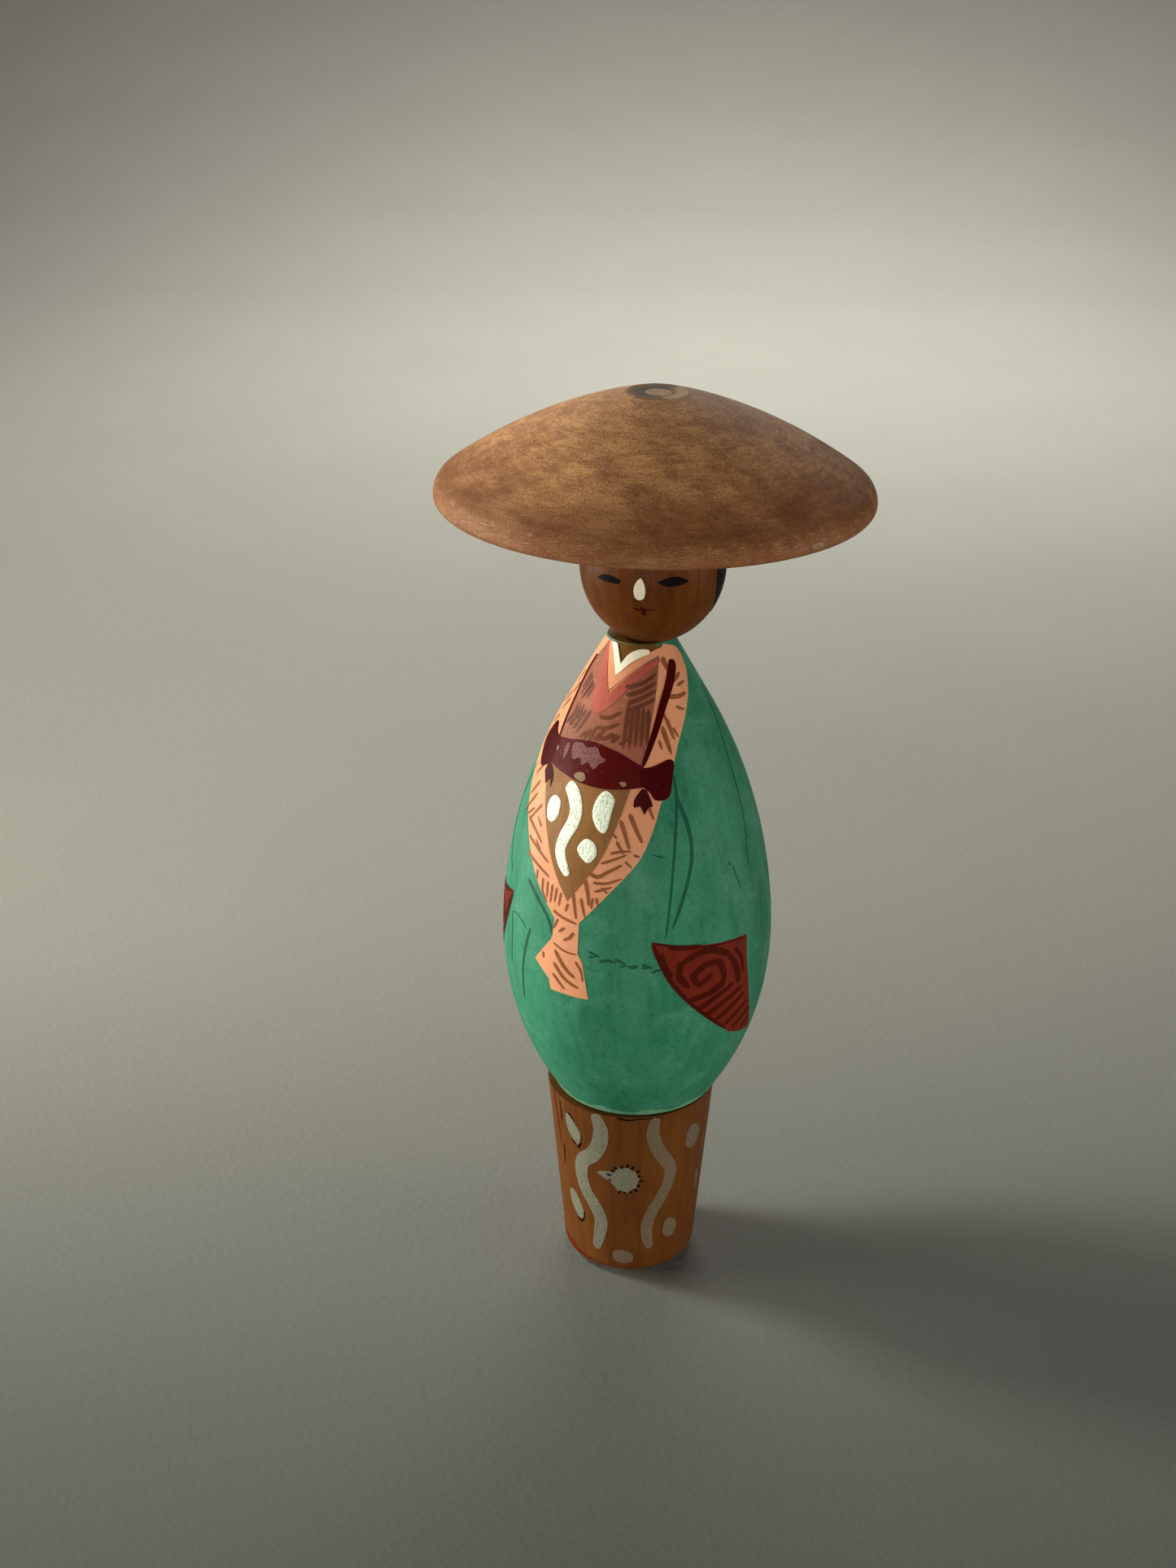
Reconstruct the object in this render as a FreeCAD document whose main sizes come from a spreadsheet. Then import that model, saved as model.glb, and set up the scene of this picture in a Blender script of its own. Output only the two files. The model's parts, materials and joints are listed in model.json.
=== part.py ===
"""A turned wooden doll with a conical hat, a head that turns on its neck peg, an egg-shaped body
and a tapered foot, modelled as a parametric document in millimetres.

The origin is where the turning axis of the body meets the surface that the doll stands on.
+Z is up and the painted front faces -Y.
"""
import FreeCAD, Part
import math
import os
import re

import Sketcher
from FreeCAD import Placement, Rotation, Vector

# Driving sizes: name, value in millimetres (or degrees), meaning.
SIZES = (
    ("foot_height", 24.1, "foot, from the ground to the body joint"),
    ("foot_bottom_radius", 7.8, "foot, radius at the ground before the edge is rounded"),
    ("foot_top_radius", 10.0, "foot, radius at the body joint"),
    ("foot_edge_round", 2.0, "foot, rounding of the lower edge"),
    ("foot_offset", 0.5, "how far the foot was glued off the axis of the body"),
    ("body_height", 56.75, "body, from the foot joint to the neck seat"),
    ("body_foot_radius", 9.35, "body, radius at the foot joint"),
    ("belly_radius", 15.6, "body, largest radius"),
    ("belly_rise", 20.1, "body, height of the largest radius above the foot joint"),
    ("neck_flare_height", 8.0, "body, height of the straight flare below the top of the blank"),
    ("neck_radius", 3.5, "body, radius at the top of the blank before the neck is sawn"),
    ("neck_saw_allowance", 0.3, "body, length of blank left above the neck seat for the saw"),
    ("head_offset", 1.1, "how far the neck hole was drilled off the axis of the body"),
    ("head_tilt", 0.8, "lean of the neck hole, in degrees"),
    ("lean_heading", 25.0, "compass direction of both faults, in degrees from +X towards +Y"),
    ("neck_gap", 0.1, "hairline gap between head and neck"),
    ("head_height", 15.9, "head, from the neck flat to the hat flat"),
    ("head_radius", 8.0, "head, largest radius"),
    ("head_neck_trim", 0.65, "head, length cut off the lower end of the egg for the neck flat"),
    ("head_hat_trim", 1.15, "head, length cut off the upper end of the egg for the hat flat"),
    ("hat_height", 11.7, "hat, from the rim's underside to the crown"),
    ("hat_radius", 23.8, "hat, radius at the rim"),
    ("hat_rim_round", 0.7, "hat, rounding under the rim"),
    ("hat_shoulder_round", 2.3, "hat, rounding of the upper side of the rim"),
    ("hat_slope_radius", 61.0, "hat, radius of the long curve from the rim to the crown"),
    ("hat_crown_radius", 3.55, "hat, radius of the flat crown"),
    ("hat_rim_width", 2.4, "hat, width of the flat ring under the rim"),
    ("hat_dish_depth", 0.6, "hat, depth of the turned hollow under the hat"),
    ("hat_seat_radius", 6.0, "hat, radius of the flat that the head is glued to"),
    ("foot_peg_radius", 2.5, "foot peg, radius"),
    ("foot_peg_in_foot", 7.0, "foot peg, length in the foot"),
    ("foot_peg_in_body", 7.0, "foot peg, length in the body"),
    ("neck_peg_radius", 1.6, "neck peg, radius"),
    ("neck_peg_in_body", 9.0, "neck peg, length in the body"),
    ("neck_peg_in_head", 6.5, "neck peg, length glued into the head"),
    ("neck_peg_clearance", 0.05, "neck peg, radial running clearance in the body"),
    ("hat_peg_radius", 1.5, "hat peg, radius"),
    ("hat_peg_in_head", 5.0, "hat peg, length in the head"),
    ("hat_peg_in_hat", 5.0, "hat peg, length in the hat"),
)

# Vertex numbers that Sketcher gives to a piece of geometry, and its name for the sketch's origin.
START, END, CENTRE = 1, 2, 3
ORIGIN = (-1, START)

document = FreeCAD.newDocument("doll")
sheet = document.addObject("Spreadsheet::Sheet", "sizes")
for row, (name, value, meaning) in enumerate(SIZES, start=1):
    sheet.set("A%d" % row, name)
    sheet.set("B%d" % row, str(value))
    sheet.set("C%d" % row, meaning)
    sheet.setAlias("B%d" % row, name)
document.recompute()


def size(name):
    """Return the value of a driving size."""
    return float(sheet.get(name))


def cell(expression):
    """Return an expression in which every driving size named in it points at the sheet."""
    return re.sub(r"[a-z]+(_[a-z]+)+", lambda word: "sizes." + word.group(0), expression)


def new_body(label):
    """Add an empty body whose label names its file."""
    body = document.addObject("PartDesign::Body", label + "_turning")
    body.Label = label
    return body


def new_sketch(body, role, label):
    """Add a sketch on one of the body's own origin planes."""
    plane = next(f for f in body.Origin.OriginFeatures if f.Role == role)
    sketch = body.newObject("Sketcher::SketchObject", label)
    sketch.AttachmentSupport = (plane, "")
    sketch.MapMode = "FlatFace"
    return sketch


def constrain(sketch, kind, *where, by=None):
    """Add one constraint, bound to the sheet when it carries a size."""
    if by is None:
        return sketch.addConstraint(Sketcher.Constraint(kind, *where))
    number = sketch.addConstraint(Sketcher.Constraint(kind, *where, evaluate(by)))
    sketch.setExpression("Constraints[%d]" % number, cell(by))
    return number


def evaluate(expression):
    """Work out an expression on the driving sizes, for the first guess of a sketch."""
    total = 0.0
    sign = 1.0
    for word in expression.split(" "):
        if word in "+-":
            sign = 1.0 if word == "+" else -1.0
        else:
            total += sign * size(word)
    return total


def chain(sketch, count, smooth=()):
    """Join each piece of a closed outline to the next one, touching smoothly after those listed."""
    for number in range(count):
        kind = "Tangent" if number in smooth else "Coincident"
        constrain(sketch, kind, number, END, (number + 1) % count, START)


def hold_point(sketch, geometry, vertex, across, up):
    """Fix a vertex at a distance from the turning axis and a height, either of which may be None."""
    if across:
        constrain(sketch, "DistanceX", *ORIGIN, geometry, vertex, by=across)
    if up:
        constrain(sketch, "DistanceY", *ORIGIN, geometry, vertex, by=up)


def segment(start, end):
    """Return a straight line of an outline drawn in the sketch plane."""
    return Part.LineSegment(Vector(*start, 0), Vector(*end, 0))


def arc(centre, radius, first, last):
    """Return a counter-clockwise arc; the angles are in radians from the outward direction."""
    circle = Part.Circle(Vector(*centre, 0), Vector(0, 0, 1), radius)
    return Part.ArcOfCircle(circle, first, last)


def revolve(body, sketch, label):
    """Turn an outline about the vertical axis of its sketch."""
    turning = body.newObject("PartDesign::Revolution", label)
    turning.Profile = sketch
    turning.ReferenceAxis = (sketch, ["V_Axis"])
    turning.Angle = 360
    sketch.Visibility = False
    document.recompute()
    if not sketch.FullyConstrained:
        raise RuntimeError("the outline %s is not fully constrained" % sketch.Name)
    return turning


def bind_offset(thing, field, base, tilt=None):
    """Bind a placement field of an object: its base as three expressions, and its lean."""
    for axis, expression in zip("xyz", base):
        thing.setExpression("%s.Base.%s" % (field, axis), cell(expression))
    if tilt:
        setattr(thing, field, Placement(getattr(thing, field).Base, leaning()))
        thing.setExpression("%s.Rotation.Angle" % field, cell("%s * 1 deg" % tilt))


def leaning():
    """Return the rotation that tips +Z by the tilt of the neck hole towards its heading."""
    heading = math.radians(size("lean_heading"))
    return Rotation(Vector(-math.sin(heading), math.cos(heading), 0), size("head_tilt"))


def shifted(distance):
    """Return the X and Y expressions of a point at a distance along the heading of the faults."""
    turn = "(lean_heading * 1 deg)"
    return "(%s) * cos%s" % (distance, turn), "(%s) * sin%s" % (distance, turn)


def on_neck_axis(distance):
    """Return the expressions of a point on the head's own axis, at a distance above the neck seat."""
    aside = "head_offset + (%s) * sin(head_tilt * 1 deg)" % distance
    height = "foot_height + body_height + (%s) * cos(head_tilt * 1 deg)" % distance
    return (*shifted(aside), height)


def drill(body, label, radius, depth, base=None, tilt=None, upwards=False):
    """Drill a blind round hole from the body's XY plane, or from a shifted and tilted copy of it."""
    sketch = new_sketch(body, "XY_Plane", label + "_outline")
    sketch.addGeometry(Part.Circle(Vector(0, 0, 0), Vector(0, 0, 1), evaluate(radius)), False)
    constrain(sketch, "Coincident", 0, CENTRE, *ORIGIN)
    constrain(sketch, "Radius", 0, by=radius)
    if base:
        bind_offset(sketch, "AttachmentOffset", base, tilt)
    before = body.Shape.Volume
    hole = body.newObject("PartDesign::Pocket", label)
    hole.Profile = sketch
    hole.Reversed = upwards
    hole.setExpression("Length", cell(depth))
    document.recompute()
    if not body.Shape.Volume < before:
        raise RuntimeError("the hole %s cuts nothing" % label)
    return hole


def make_foot():
    """Tapered foot, rounded below, with a blind hole for its peg on the axis of the body."""
    body = new_body("foot")
    bottom, top, height = size("foot_bottom_radius"), size("foot_top_radius"), size("foot_height")
    corners = ((0, 0), (bottom, 0), (top, height), (0, height))
    outline = new_sketch(body, "XZ_Plane", "foot_outline")
    outline.addGeometry([segment(corners[i], corners[(i + 1) % 4]) for i in range(4)], False)
    chain(outline, 4)
    constrain(outline, "Coincident", 0, START, *ORIGIN)
    constrain(outline, "Horizontal", 0)
    constrain(outline, "Horizontal", 2)
    constrain(outline, "Vertical", 3)
    hold_point(outline, 0, END, "foot_bottom_radius", None)
    hold_point(outline, 1, END, "foot_top_radius", "foot_height")
    turning = revolve(body, outline, "foot_turned")
    lower_edge = next(
        "Edge%d" % number
        for number, edge in enumerate(turning.Shape.Edges, start=1)
        if edge.BoundBox.ZMax < 1e-6 and edge.BoundBox.XLength > bottom
    )
    rounding = body.newObject("PartDesign::Fillet", "foot_rounding")
    rounding.Base = (turning, [lower_edge])
    rounding.setExpression("Radius", cell("foot_edge_round"))
    document.recompute()
    drill(body, "foot_hole", "foot_peg_radius", "foot_peg_in_foot",
          base=(*shifted("foot_offset"), "foot_height"))
    bind_offset(body, "Placement", (*shifted("-foot_offset"), "0"))
    return body


def make_doll_body():
    """Egg-shaped body: a short curve below the belly, a long one above it, a straight neck flare.

    Its neck is sawn, and the neck hole drilled, a little off square, as on the real doll.
    """
    body = new_body("body")
    low, belly, rise = size("body_foot_radius"), size("belly_radius"), size("belly_rise")
    neck, flare = size("neck_radius"), size("neck_flare_height")
    blank = size("body_height") + size("neck_saw_allowance")
    swell = belly - low
    lower = (rise ** 2 + swell ** 2) / (2 * swell)
    # First guess of the turn that takes the long curve into the flare; the sketch settles it.
    climb = blank - flare - rise
    turn = 2 * math.atan((belly - neck) / (climb + 2 * flare))
    upper = climb / math.sin(turn)
    shoulder = (belly - upper + upper * math.cos(turn), blank - flare)
    outline = new_sketch(body, "XZ_Plane", "body_outline")
    outline.addGeometry([
        segment((0, 0), (low, 0)),
        arc((belly - lower, rise), lower, -math.asin(rise / lower), 0),
        arc((belly - upper, rise), upper, 0, turn),
        segment(shoulder, (neck, blank)),
        segment((neck, blank), (0, blank)),
        segment((0, blank), (0, 0)),
    ], False)
    chain(outline, 6, smooth=(2,))
    constrain(outline, "Coincident", 0, START, *ORIGIN)
    constrain(outline, "Horizontal", 0)
    constrain(outline, "Horizontal", 4)
    constrain(outline, "Vertical", 5)
    for curve, widest in ((1, END), (2, START)):
        constrain(outline, "Horizontal", curve, CENTRE, curve, widest)
    constrain(outline, "DistanceY", 3, START, 3, END, by="neck_flare_height")
    hold_point(outline, 0, END, "body_foot_radius", None)
    hold_point(outline, 1, END, "belly_radius", "belly_rise")
    hold_point(outline, 3, END, "neck_radius", "body_height + neck_saw_allowance")
    revolve(body, outline, "body_turned")
    seat = (*shifted("head_offset"), "body_height")
    drill(body, "neck_saw_cut", "belly_radius", "neck_saw_allowance + neck_radius",
          base=seat, tilt="head_tilt", upwards=True)
    drill(body, "neck_hole", "neck_peg_radius + neck_peg_clearance", "neck_peg_in_body",
          base=seat, tilt="head_tilt")
    drill(body, "body_foot_hole", "foot_peg_radius", "foot_peg_in_body", upwards=True)
    bind_offset(body, "Placement", ("0", "0", "foot_height"))
    return body


def make_head():
    """Ball head: an upright ellipse turned about its axis, cut flat at the neck and under the hat."""
    body = new_body("head")
    whole_height = "head_height + head_neck_trim + head_hat_trim"
    widest, height, half = size("head_radius"), size("head_height"), evaluate(whole_height) / 2
    rise = half - size("head_neck_trim")
    # Angles at which the ellipse meets the two flats, counted from its top through its far side.
    first = 2 * math.pi - math.acos(-rise / half)
    last = 2 * math.pi - math.acos((height - rise) / half)
    bottom_flat, top_flat = -widest * math.sin(first), -widest * math.sin(last)
    top, near, far = Vector(0, rise + half, 0), Vector(widest, rise, 0), Vector(-widest, rise, 0)
    # An ellipse is counted from its longer axis, which is the level one in a short head.
    if half > widest:
        whole, turn, upright, level = Part.Ellipse(top, far, Vector(0, rise, 0)), 0, 4, 5
    else:
        whole, turn, upright, level = Part.Ellipse(near, top, Vector(0, rise, 0)), math.pi / 2, 5, 4
    outline = new_sketch(body, "XZ_Plane", "head_outline")
    outline.addGeometry([
        segment((0, 0), (bottom_flat, 0)),
        Part.ArcOfEllipse(whole, first + turn, last + turn),
        segment((top_flat, height), (0, height)),
        segment((0, height), (0, 0)),
    ], False)
    outline.exposeInternalGeometry(1)
    chain(outline, 4)
    constrain(outline, "Coincident", 0, START, *ORIGIN)
    constrain(outline, "Horizontal", 0)
    constrain(outline, "Horizontal", 2)
    constrain(outline, "Vertical", 3)
    constrain(outline, "Vertical", upright)
    constrain(outline, "PointOnObject", 1, CENTRE, -2)
    hold_point(outline, 2, START, None, "head_height")
    hold_point(outline, upright, START, None, "head_height + head_hat_trim")
    constrain(outline, "Distance", upright, by=whole_height)
    constrain(outline, "Distance", level, by="head_radius + head_radius")
    revolve(body, outline, "head_turned")
    drill(body, "head_neck_hole", "neck_peg_radius", "neck_peg_in_head", upwards=True)
    drill(body, "head_hat_hole", "hat_peg_radius", "hat_peg_in_head", base=("0", "0", "head_height"))
    bind_offset(body, "Placement", on_neck_axis("neck_gap"), tilt="head_tilt")
    return body


def make_hat():
    """Conical hat: rounded rim, long gently domed slope, flat crown, shallow dish underneath."""
    body = new_body("hat")
    height, rim, under = size("hat_height"), size("hat_radius"), size("hat_rim_round")
    shoulder, slope, crown = (size(n) for n in ("hat_shoulder_round", "hat_slope_radius", "hat_crown_radius"))
    dish, seat, ring = size("hat_dish_depth"), size("hat_seat_radius"), rim - size("hat_rim_width")
    shoulder_centre = (rim - shoulder, under)
    # The slope's centre is a slope radius from the crown's edge, and lies on a line through the
    # shoulder's centre, because the two curves touch.
    span = math.hypot(crown - shoulder_centre[0], height - shoulder_centre[1])
    bearing = math.atan2(height - shoulder_centre[1], crown - shoulder_centre[0])
    near = slope - shoulder
    corner = math.acos((near ** 2 + span ** 2 - slope ** 2) / (2 * near * span))
    touch = bearing + corner - math.pi
    slope_centre = (
        shoulder_centre[0] - near * math.cos(touch),
        shoulder_centre[1] - near * math.sin(touch),
    )
    crown_angle = math.atan2(height - slope_centre[1], crown - slope_centre[0])
    outline = new_sketch(body, "XZ_Plane", "hat_outline")
    outline.addGeometry([
        segment((0, dish), (seat, dish)),
        segment((seat, dish), (ring, 0)),
        segment((ring, 0), (rim - under, 0)),
        arc((rim - under, under), under, -math.pi / 2, 0),
        arc(shoulder_centre, shoulder, 0, touch),
        arc(slope_centre, slope, touch, crown_angle),
        segment((crown, height), (0, height)),
        segment((0, height), (0, dish)),
    ], False)
    chain(outline, 8, smooth=(4,))
    constrain(outline, "Vertical", 7)
    constrain(outline, "PointOnObject", 0, START, -2)
    for level in (0, 2, 6):
        constrain(outline, "Horizontal", level)
    constrain(outline, "Horizontal", 3, CENTRE, 3, END)
    constrain(outline, "Vertical", 3, CENTRE, 3, START)
    constrain(outline, "Horizontal", 4, CENTRE, 4, START)
    constrain(outline, "Radius", 3, by="hat_rim_round")
    constrain(outline, "Radius", 4, by="hat_shoulder_round")
    constrain(outline, "Radius", 5, by="hat_slope_radius")
    hold_point(outline, 0, END, "hat_seat_radius", "hat_dish_depth")
    hold_point(outline, 1, END, "hat_radius - hat_rim_width", None)
    constrain(outline, "PointOnObject", 2, START, -1)
    hold_point(outline, 3, END, "hat_radius", None)
    hold_point(outline, 5, END, "hat_crown_radius", "hat_height")
    revolve(body, outline, "hat_turned")
    drill(body, "hat_hole", "hat_peg_radius", "hat_peg_in_hat",
          base=("0", "0", "hat_dish_depth"), upwards=True)
    bind_offset(body, "Placement", on_neck_axis("neck_gap + head_height - hat_dish_depth"), tilt="head_tilt")
    return body


def make_peg(label, radius, length, base, tilt=None):
    """Plain dowel standing on its placement."""
    peg = document.addObject("Part::Cylinder", label + "_dowel")
    peg.Label = label
    peg.setExpression("Radius", cell(radius))
    peg.setExpression("Height", cell(length))
    bind_offset(peg, "Placement", base, tilt)
    return peg


def check_document(pieces):
    """Stop if any object of the document failed, or a piece is empty or not one valid solid."""
    for thing in document.Objects:
        if "Invalid" in thing.State or "Error" in thing.State:
            raise RuntimeError("%s failed: %s" % (thing.Label, thing.State))
    for piece in pieces:
        if piece.Shape.isNull() or not piece.Shape.isValid() or len(piece.Shape.Solids) != 1:
            raise RuntimeError("%s is not one valid solid" % piece.Label)


pieces = [
    make_foot(),
    make_doll_body(),
    make_head(),
    make_hat(),
    make_peg("foot_peg", "foot_peg_radius", "foot_peg_in_foot + foot_peg_in_body",
             ("0", "0", "foot_height - foot_peg_in_foot")),
    make_peg("neck_peg", "neck_peg_radius", "neck_peg_in_body + neck_gap + neck_peg_in_head",
             on_neck_axis("-neck_peg_in_body"), tilt="head_tilt"),
    make_peg("hat_peg", "hat_peg_radius", "hat_peg_in_head + hat_peg_in_hat",
             on_neck_axis("neck_gap + head_height - hat_peg_in_head"), tilt="head_tilt"),
]
document.recompute()
check_document(pieces)

os.makedirs("parts", exist_ok=True)
for piece in pieces:
    piece.Shape.exportStep("parts/%s.step" % piece.Label)
    box = piece.Shape.BoundBox
    print("%-9s volume %8.1f  z %7.2f to %7.2f" % (piece.Label, piece.Shape.Volume, box.ZMin, box.ZMax))
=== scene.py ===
"""Looks of a small turned and painted wooden doll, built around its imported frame.

Lengths are in metres. Paint is laid out on a piece as (degrees, millimetres): degrees round the
piece from its painted front, counted towards the doll's left hand, and millimetres above the
piece's lower end.
"""
import functools
import json
import logging
import math
from dataclasses import dataclass
from enum import Enum

import bpy
from mathutils import Matrix, Vector, noise
from mathutils.bvhtree import BVHTree


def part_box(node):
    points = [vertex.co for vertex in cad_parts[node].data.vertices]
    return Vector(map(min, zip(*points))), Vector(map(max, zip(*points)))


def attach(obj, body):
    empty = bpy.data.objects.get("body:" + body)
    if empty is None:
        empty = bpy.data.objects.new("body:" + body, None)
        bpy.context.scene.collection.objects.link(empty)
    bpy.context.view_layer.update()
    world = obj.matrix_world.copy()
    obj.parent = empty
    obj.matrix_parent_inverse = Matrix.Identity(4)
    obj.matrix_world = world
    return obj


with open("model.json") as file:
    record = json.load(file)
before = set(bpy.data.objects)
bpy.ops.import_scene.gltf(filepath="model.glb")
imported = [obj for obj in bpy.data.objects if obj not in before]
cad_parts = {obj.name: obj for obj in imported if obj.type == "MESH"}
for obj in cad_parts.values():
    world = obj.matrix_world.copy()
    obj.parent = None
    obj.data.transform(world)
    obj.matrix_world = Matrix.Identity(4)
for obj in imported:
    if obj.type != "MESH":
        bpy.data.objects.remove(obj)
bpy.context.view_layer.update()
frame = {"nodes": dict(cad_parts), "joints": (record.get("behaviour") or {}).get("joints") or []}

log = logging.getLogger("doll")

MM = 0.001
BODY_TOP = 56.6  # millimetres up the body where the painted cloth ends
NECK_TOP = 56.74  # and where the bare neck ends
HEAD_FRONT = 15.5  # degrees that the head's painted front is turned from the body's

Colour = tuple[float, float, float]
Spot = tuple[float, float]
Run = list[Spot]


def paint_box(red: int, green: int, blue: int) -> Colour:
    """Turn a colour mixed on the 0 to 255 scale of a colour chart into the linear one of a shader.

    Args:
        red: Share of red.
        green: Share of green.
        blue: Share of blue.

    Returns:
        The linear colour.
    """
    shares = (value / 255 for value in (red, green, blue))
    return tuple(s / 12.92 if s <= 0.04045 else ((s + 0.055) / 1.055) ** 2.4 for s in shares)


class Wire:
    """A shader socket that takes part in Python arithmetic; each operation adds a Math node."""

    def __init__(self, shader: "Shader", socket: bpy.types.NodeSocket) -> None:
        """Wrap a socket of a shader."""
        self.shader = shader
        self.socket = socket

    def _math(self, operation: str, first: "Wire | float", second: "Wire | float" = 0.0) -> "Wire":
        """Add one Math node."""
        return self.shader.node("ShaderNodeMath", {"operation": operation}, {0: first, 1: second})

    def __add__(self, other: "Wire | float") -> "Wire":
        """Add."""
        return self._math("ADD", self, other)

    def __sub__(self, other: "Wire | float") -> "Wire":
        """Subtract."""
        return self._math("SUBTRACT", self, other)

    def __rsub__(self, other: float) -> "Wire":
        """Subtract from a number."""
        return self._math("SUBTRACT", other, self)

    def __mul__(self, other: "Wire | float") -> "Wire":
        """Multiply."""
        return self._math("MULTIPLY", self, other)

    __radd__ = __add__
    __rmul__ = __mul__

    def between(self, low: float, high: float) -> "Wire":
        """Rise smoothly from 0 at low to 1 at high; fall instead where high is the smaller."""
        if high < low:
            return 1 - self.between(high, low)
        settings = {"interpolation_type": "SMOOTHSTEP"}
        return self.shader.node("ShaderNodeMapRange", settings, {0: self, 1: low, 2: high})


class Shader:
    """A material under construction, on the object's own coordinates."""

    def __init__(self, name: str) -> None:
        """Start a material with its surface shader."""
        self.material = bpy.data.materials.new(name)
        self.material.use_nodes = True
        self.tree = self.material.node_tree
        self.surface = self.tree.nodes["Principled BSDF"]
        self.place = self.node("ShaderNodeTexCoord", output="Object")

    def feed(self, socket: bpy.types.NodeSocket, value: "Wire | float | tuple") -> None:
        """Link a wire to a socket, or set the socket's value."""
        if isinstance(value, Wire):
            self.tree.links.new(value.socket, socket)
        elif socket.type == "RGBA":
            socket.default_value = (*value, 1.0)
        else:
            socket.default_value = value

    def node(self, kind: str, settings: dict | None = None, values: dict | None = None,
             output: int | str = 0) -> Wire:
        """Add a node.

        Args:
            kind: The node's type.
            settings: Its properties.
            values: Numbers, colours or wires for its sockets, by name or number.
            output: The output that is handed back.

        Returns:
            The wire of that output.
        """
        made = self.tree.nodes.new(kind)
        for name, value in (settings or {}).items():
            setattr(made, name, value)
        for key, value in (values or {}).items():
            self.feed(made.inputs[key], value)
        return Wire(self, made.outputs[output])

    def set(self, **values: "Wire | float | tuple") -> None:
        """Set or link sockets of the surface shader, named with underscores for spaces."""
        for name, value in values.items():
            self.feed(self.surface.inputs[name.replace("_", " ").title().replace("Ior", "IOR")], value)

    def mix(self, share: Wire | float, first: Wire | Colour, second: Wire | Colour) -> Wire:
        """Mix two colours."""
        return self.node("ShaderNodeMix", {"data_type": "RGBA"}, {0: share, 6: first, 7: second}, output=2)

    def noise(self, size: float, stretch: tuple = (1, 1, 1), place: Wire | None = None, detail: float = 3.0,
              warp: float = 0.0) -> Wire:
        """Add clouds of a size, longer along an axis where its stretch is above 1."""
        turned = self.node("ShaderNodeMapping", {"vector_type": "TEXTURE"},
                           {"Vector": place or self.place, "Scale": stretch})
        values = {"Vector": turned, "Scale": 1 / size, "Detail": detail, "Distortion": warp}
        return self.node("ShaderNodeTexNoise", None, values)

    def about(self, axis: Vector) -> tuple[Wire, Wire, Wire]:
        """Give positions about an upright axis: distance from it, height, and direction vector."""
        moved = self.node("ShaderNodeVectorMath", {"operation": "SUBTRACT"},
                          {0: self.place, 1: (axis.x, axis.y, 0)})
        flat = self.node("ShaderNodeVectorMath", {"operation": "MULTIPLY"}, {0: moved, 1: (1, 1, 0)})
        distance = self.node("ShaderNodeVectorMath", {"operation": "LENGTH"}, {0: flat}, output="Value")
        height = self.node("ShaderNodeSeparateXYZ", None, {0: moved}, output="Z")
        direction = self.node("ShaderNodeVectorMath", {"operation": "NORMALIZE"}, {0: flat})
        return distance, height, direction

    def rolled(self, direction: Wire, along: Wire, girth: float, pull: float) -> Wire:
        """Give coordinates whose noise runs round the piece in rings, pulled out by a factor."""
        ring = self.node("ShaderNodeVectorMath", {"operation": "SCALE"}, {0: direction, "Scale": girth})
        level = self.node("ShaderNodeCombineXYZ", None, {2: along * pull})
        return self.node("ShaderNodeVectorMath", {"operation": "ADD"}, {0: ring, 1: level})

    def bump(self, height: Wire, depth: float) -> None:
        """Raise the surface by a height between 0 and 1 times a depth in metres."""
        values = {"Height": height, "Distance": depth, "Strength": 1.0}
        self.set(normal=self.node("ShaderNodeBump", None, values))


class Streak(Enum):
    """Which way the brush went, as the stretch of its marks along X, Y and Z."""

    UPRIGHT = (1, 1, 7)
    DABBED = (1, 1, 1)


@dataclass(frozen=True)
class Paint:
    """Brushed poster paint on wood, mottled, flecked and a little worn.

    Attributes:
        name: Name of the material.
        colour: Main colour.
        shade: Colour of the darker, thinner patches.
        fleck: Colour of small worn flecks.
        fleck_share: How common the flecks are, from 0 to 1.
        mottle: How strongly the shade shows, from 0 to 1.
        streak: Direction of the brush marks.
        roughness: Roughness of the dry paint.
        relief: Height of the brush marks.
        worn_colour: Colour of large faded patches, if there are any.
        sheen: How much the paint mirrors.
    """

    name: str
    colour: Colour
    shade: Colour
    fleck: Colour = (0.05, 0.03, 0.02)
    fleck_share: float = 0.1
    mottle: float = 0.5
    streak: Streak = Streak.UPRIGHT
    roughness: float = 0.6
    relief: float = 0.02 * MM
    worn_colour: Colour | None = None
    sheen: float = 0.15

    @functools.cache
    def material(self) -> bpy.types.Material:
        """Build the material once."""
        shader = Shader(self.name)
        broad = shader.noise(4.5 * MM, self.streak.value, detail=5, warp=0.4)
        brush = shader.noise(0.9 * MM, self.streak.value, detail=4)
        fine = shader.noise(0.28 * MM, detail=2)
        specks = shader.noise(0.45 * MM, detail=2)
        tone = (broad.between(0.35, 0.7) * 0.45 + brush.between(0.3, 0.75) * 0.3
                + fine.between(0.3, 0.75) * 0.25)
        colour = shader.mix(tone * self.mottle, self.colour, self.shade)
        if self.worn_colour:
            patches = shader.noise(5 * MM, detail=8, warp=0.6) + (fine - 0.5) * 0.5
            colour = shader.mix(patches.between(0.46, 0.76) * 0.55, colour, self.worn_colour)
            colour = shader.mix(specks.between(0.5, 0.66) * 0.3, colour, self.shade)
        spread = 0.14 * self.fleck_share
        worn = (specks + (broad - 0.5) * 0.3).between(0.7 - spread, 0.76 - spread)
        colour = shader.mix(worn * min(1.0, 3 * self.fleck_share), colour, self.fleck)
        shader.set(base_color=colour, roughness=brush * 0.25 + (self.roughness - 0.12),
                   specular_ior_level=self.sheen)
        shader.bump(brush * 0.4 + fine * 0.35 + broad * 0.25, self.relief)
        return shader.material


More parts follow.
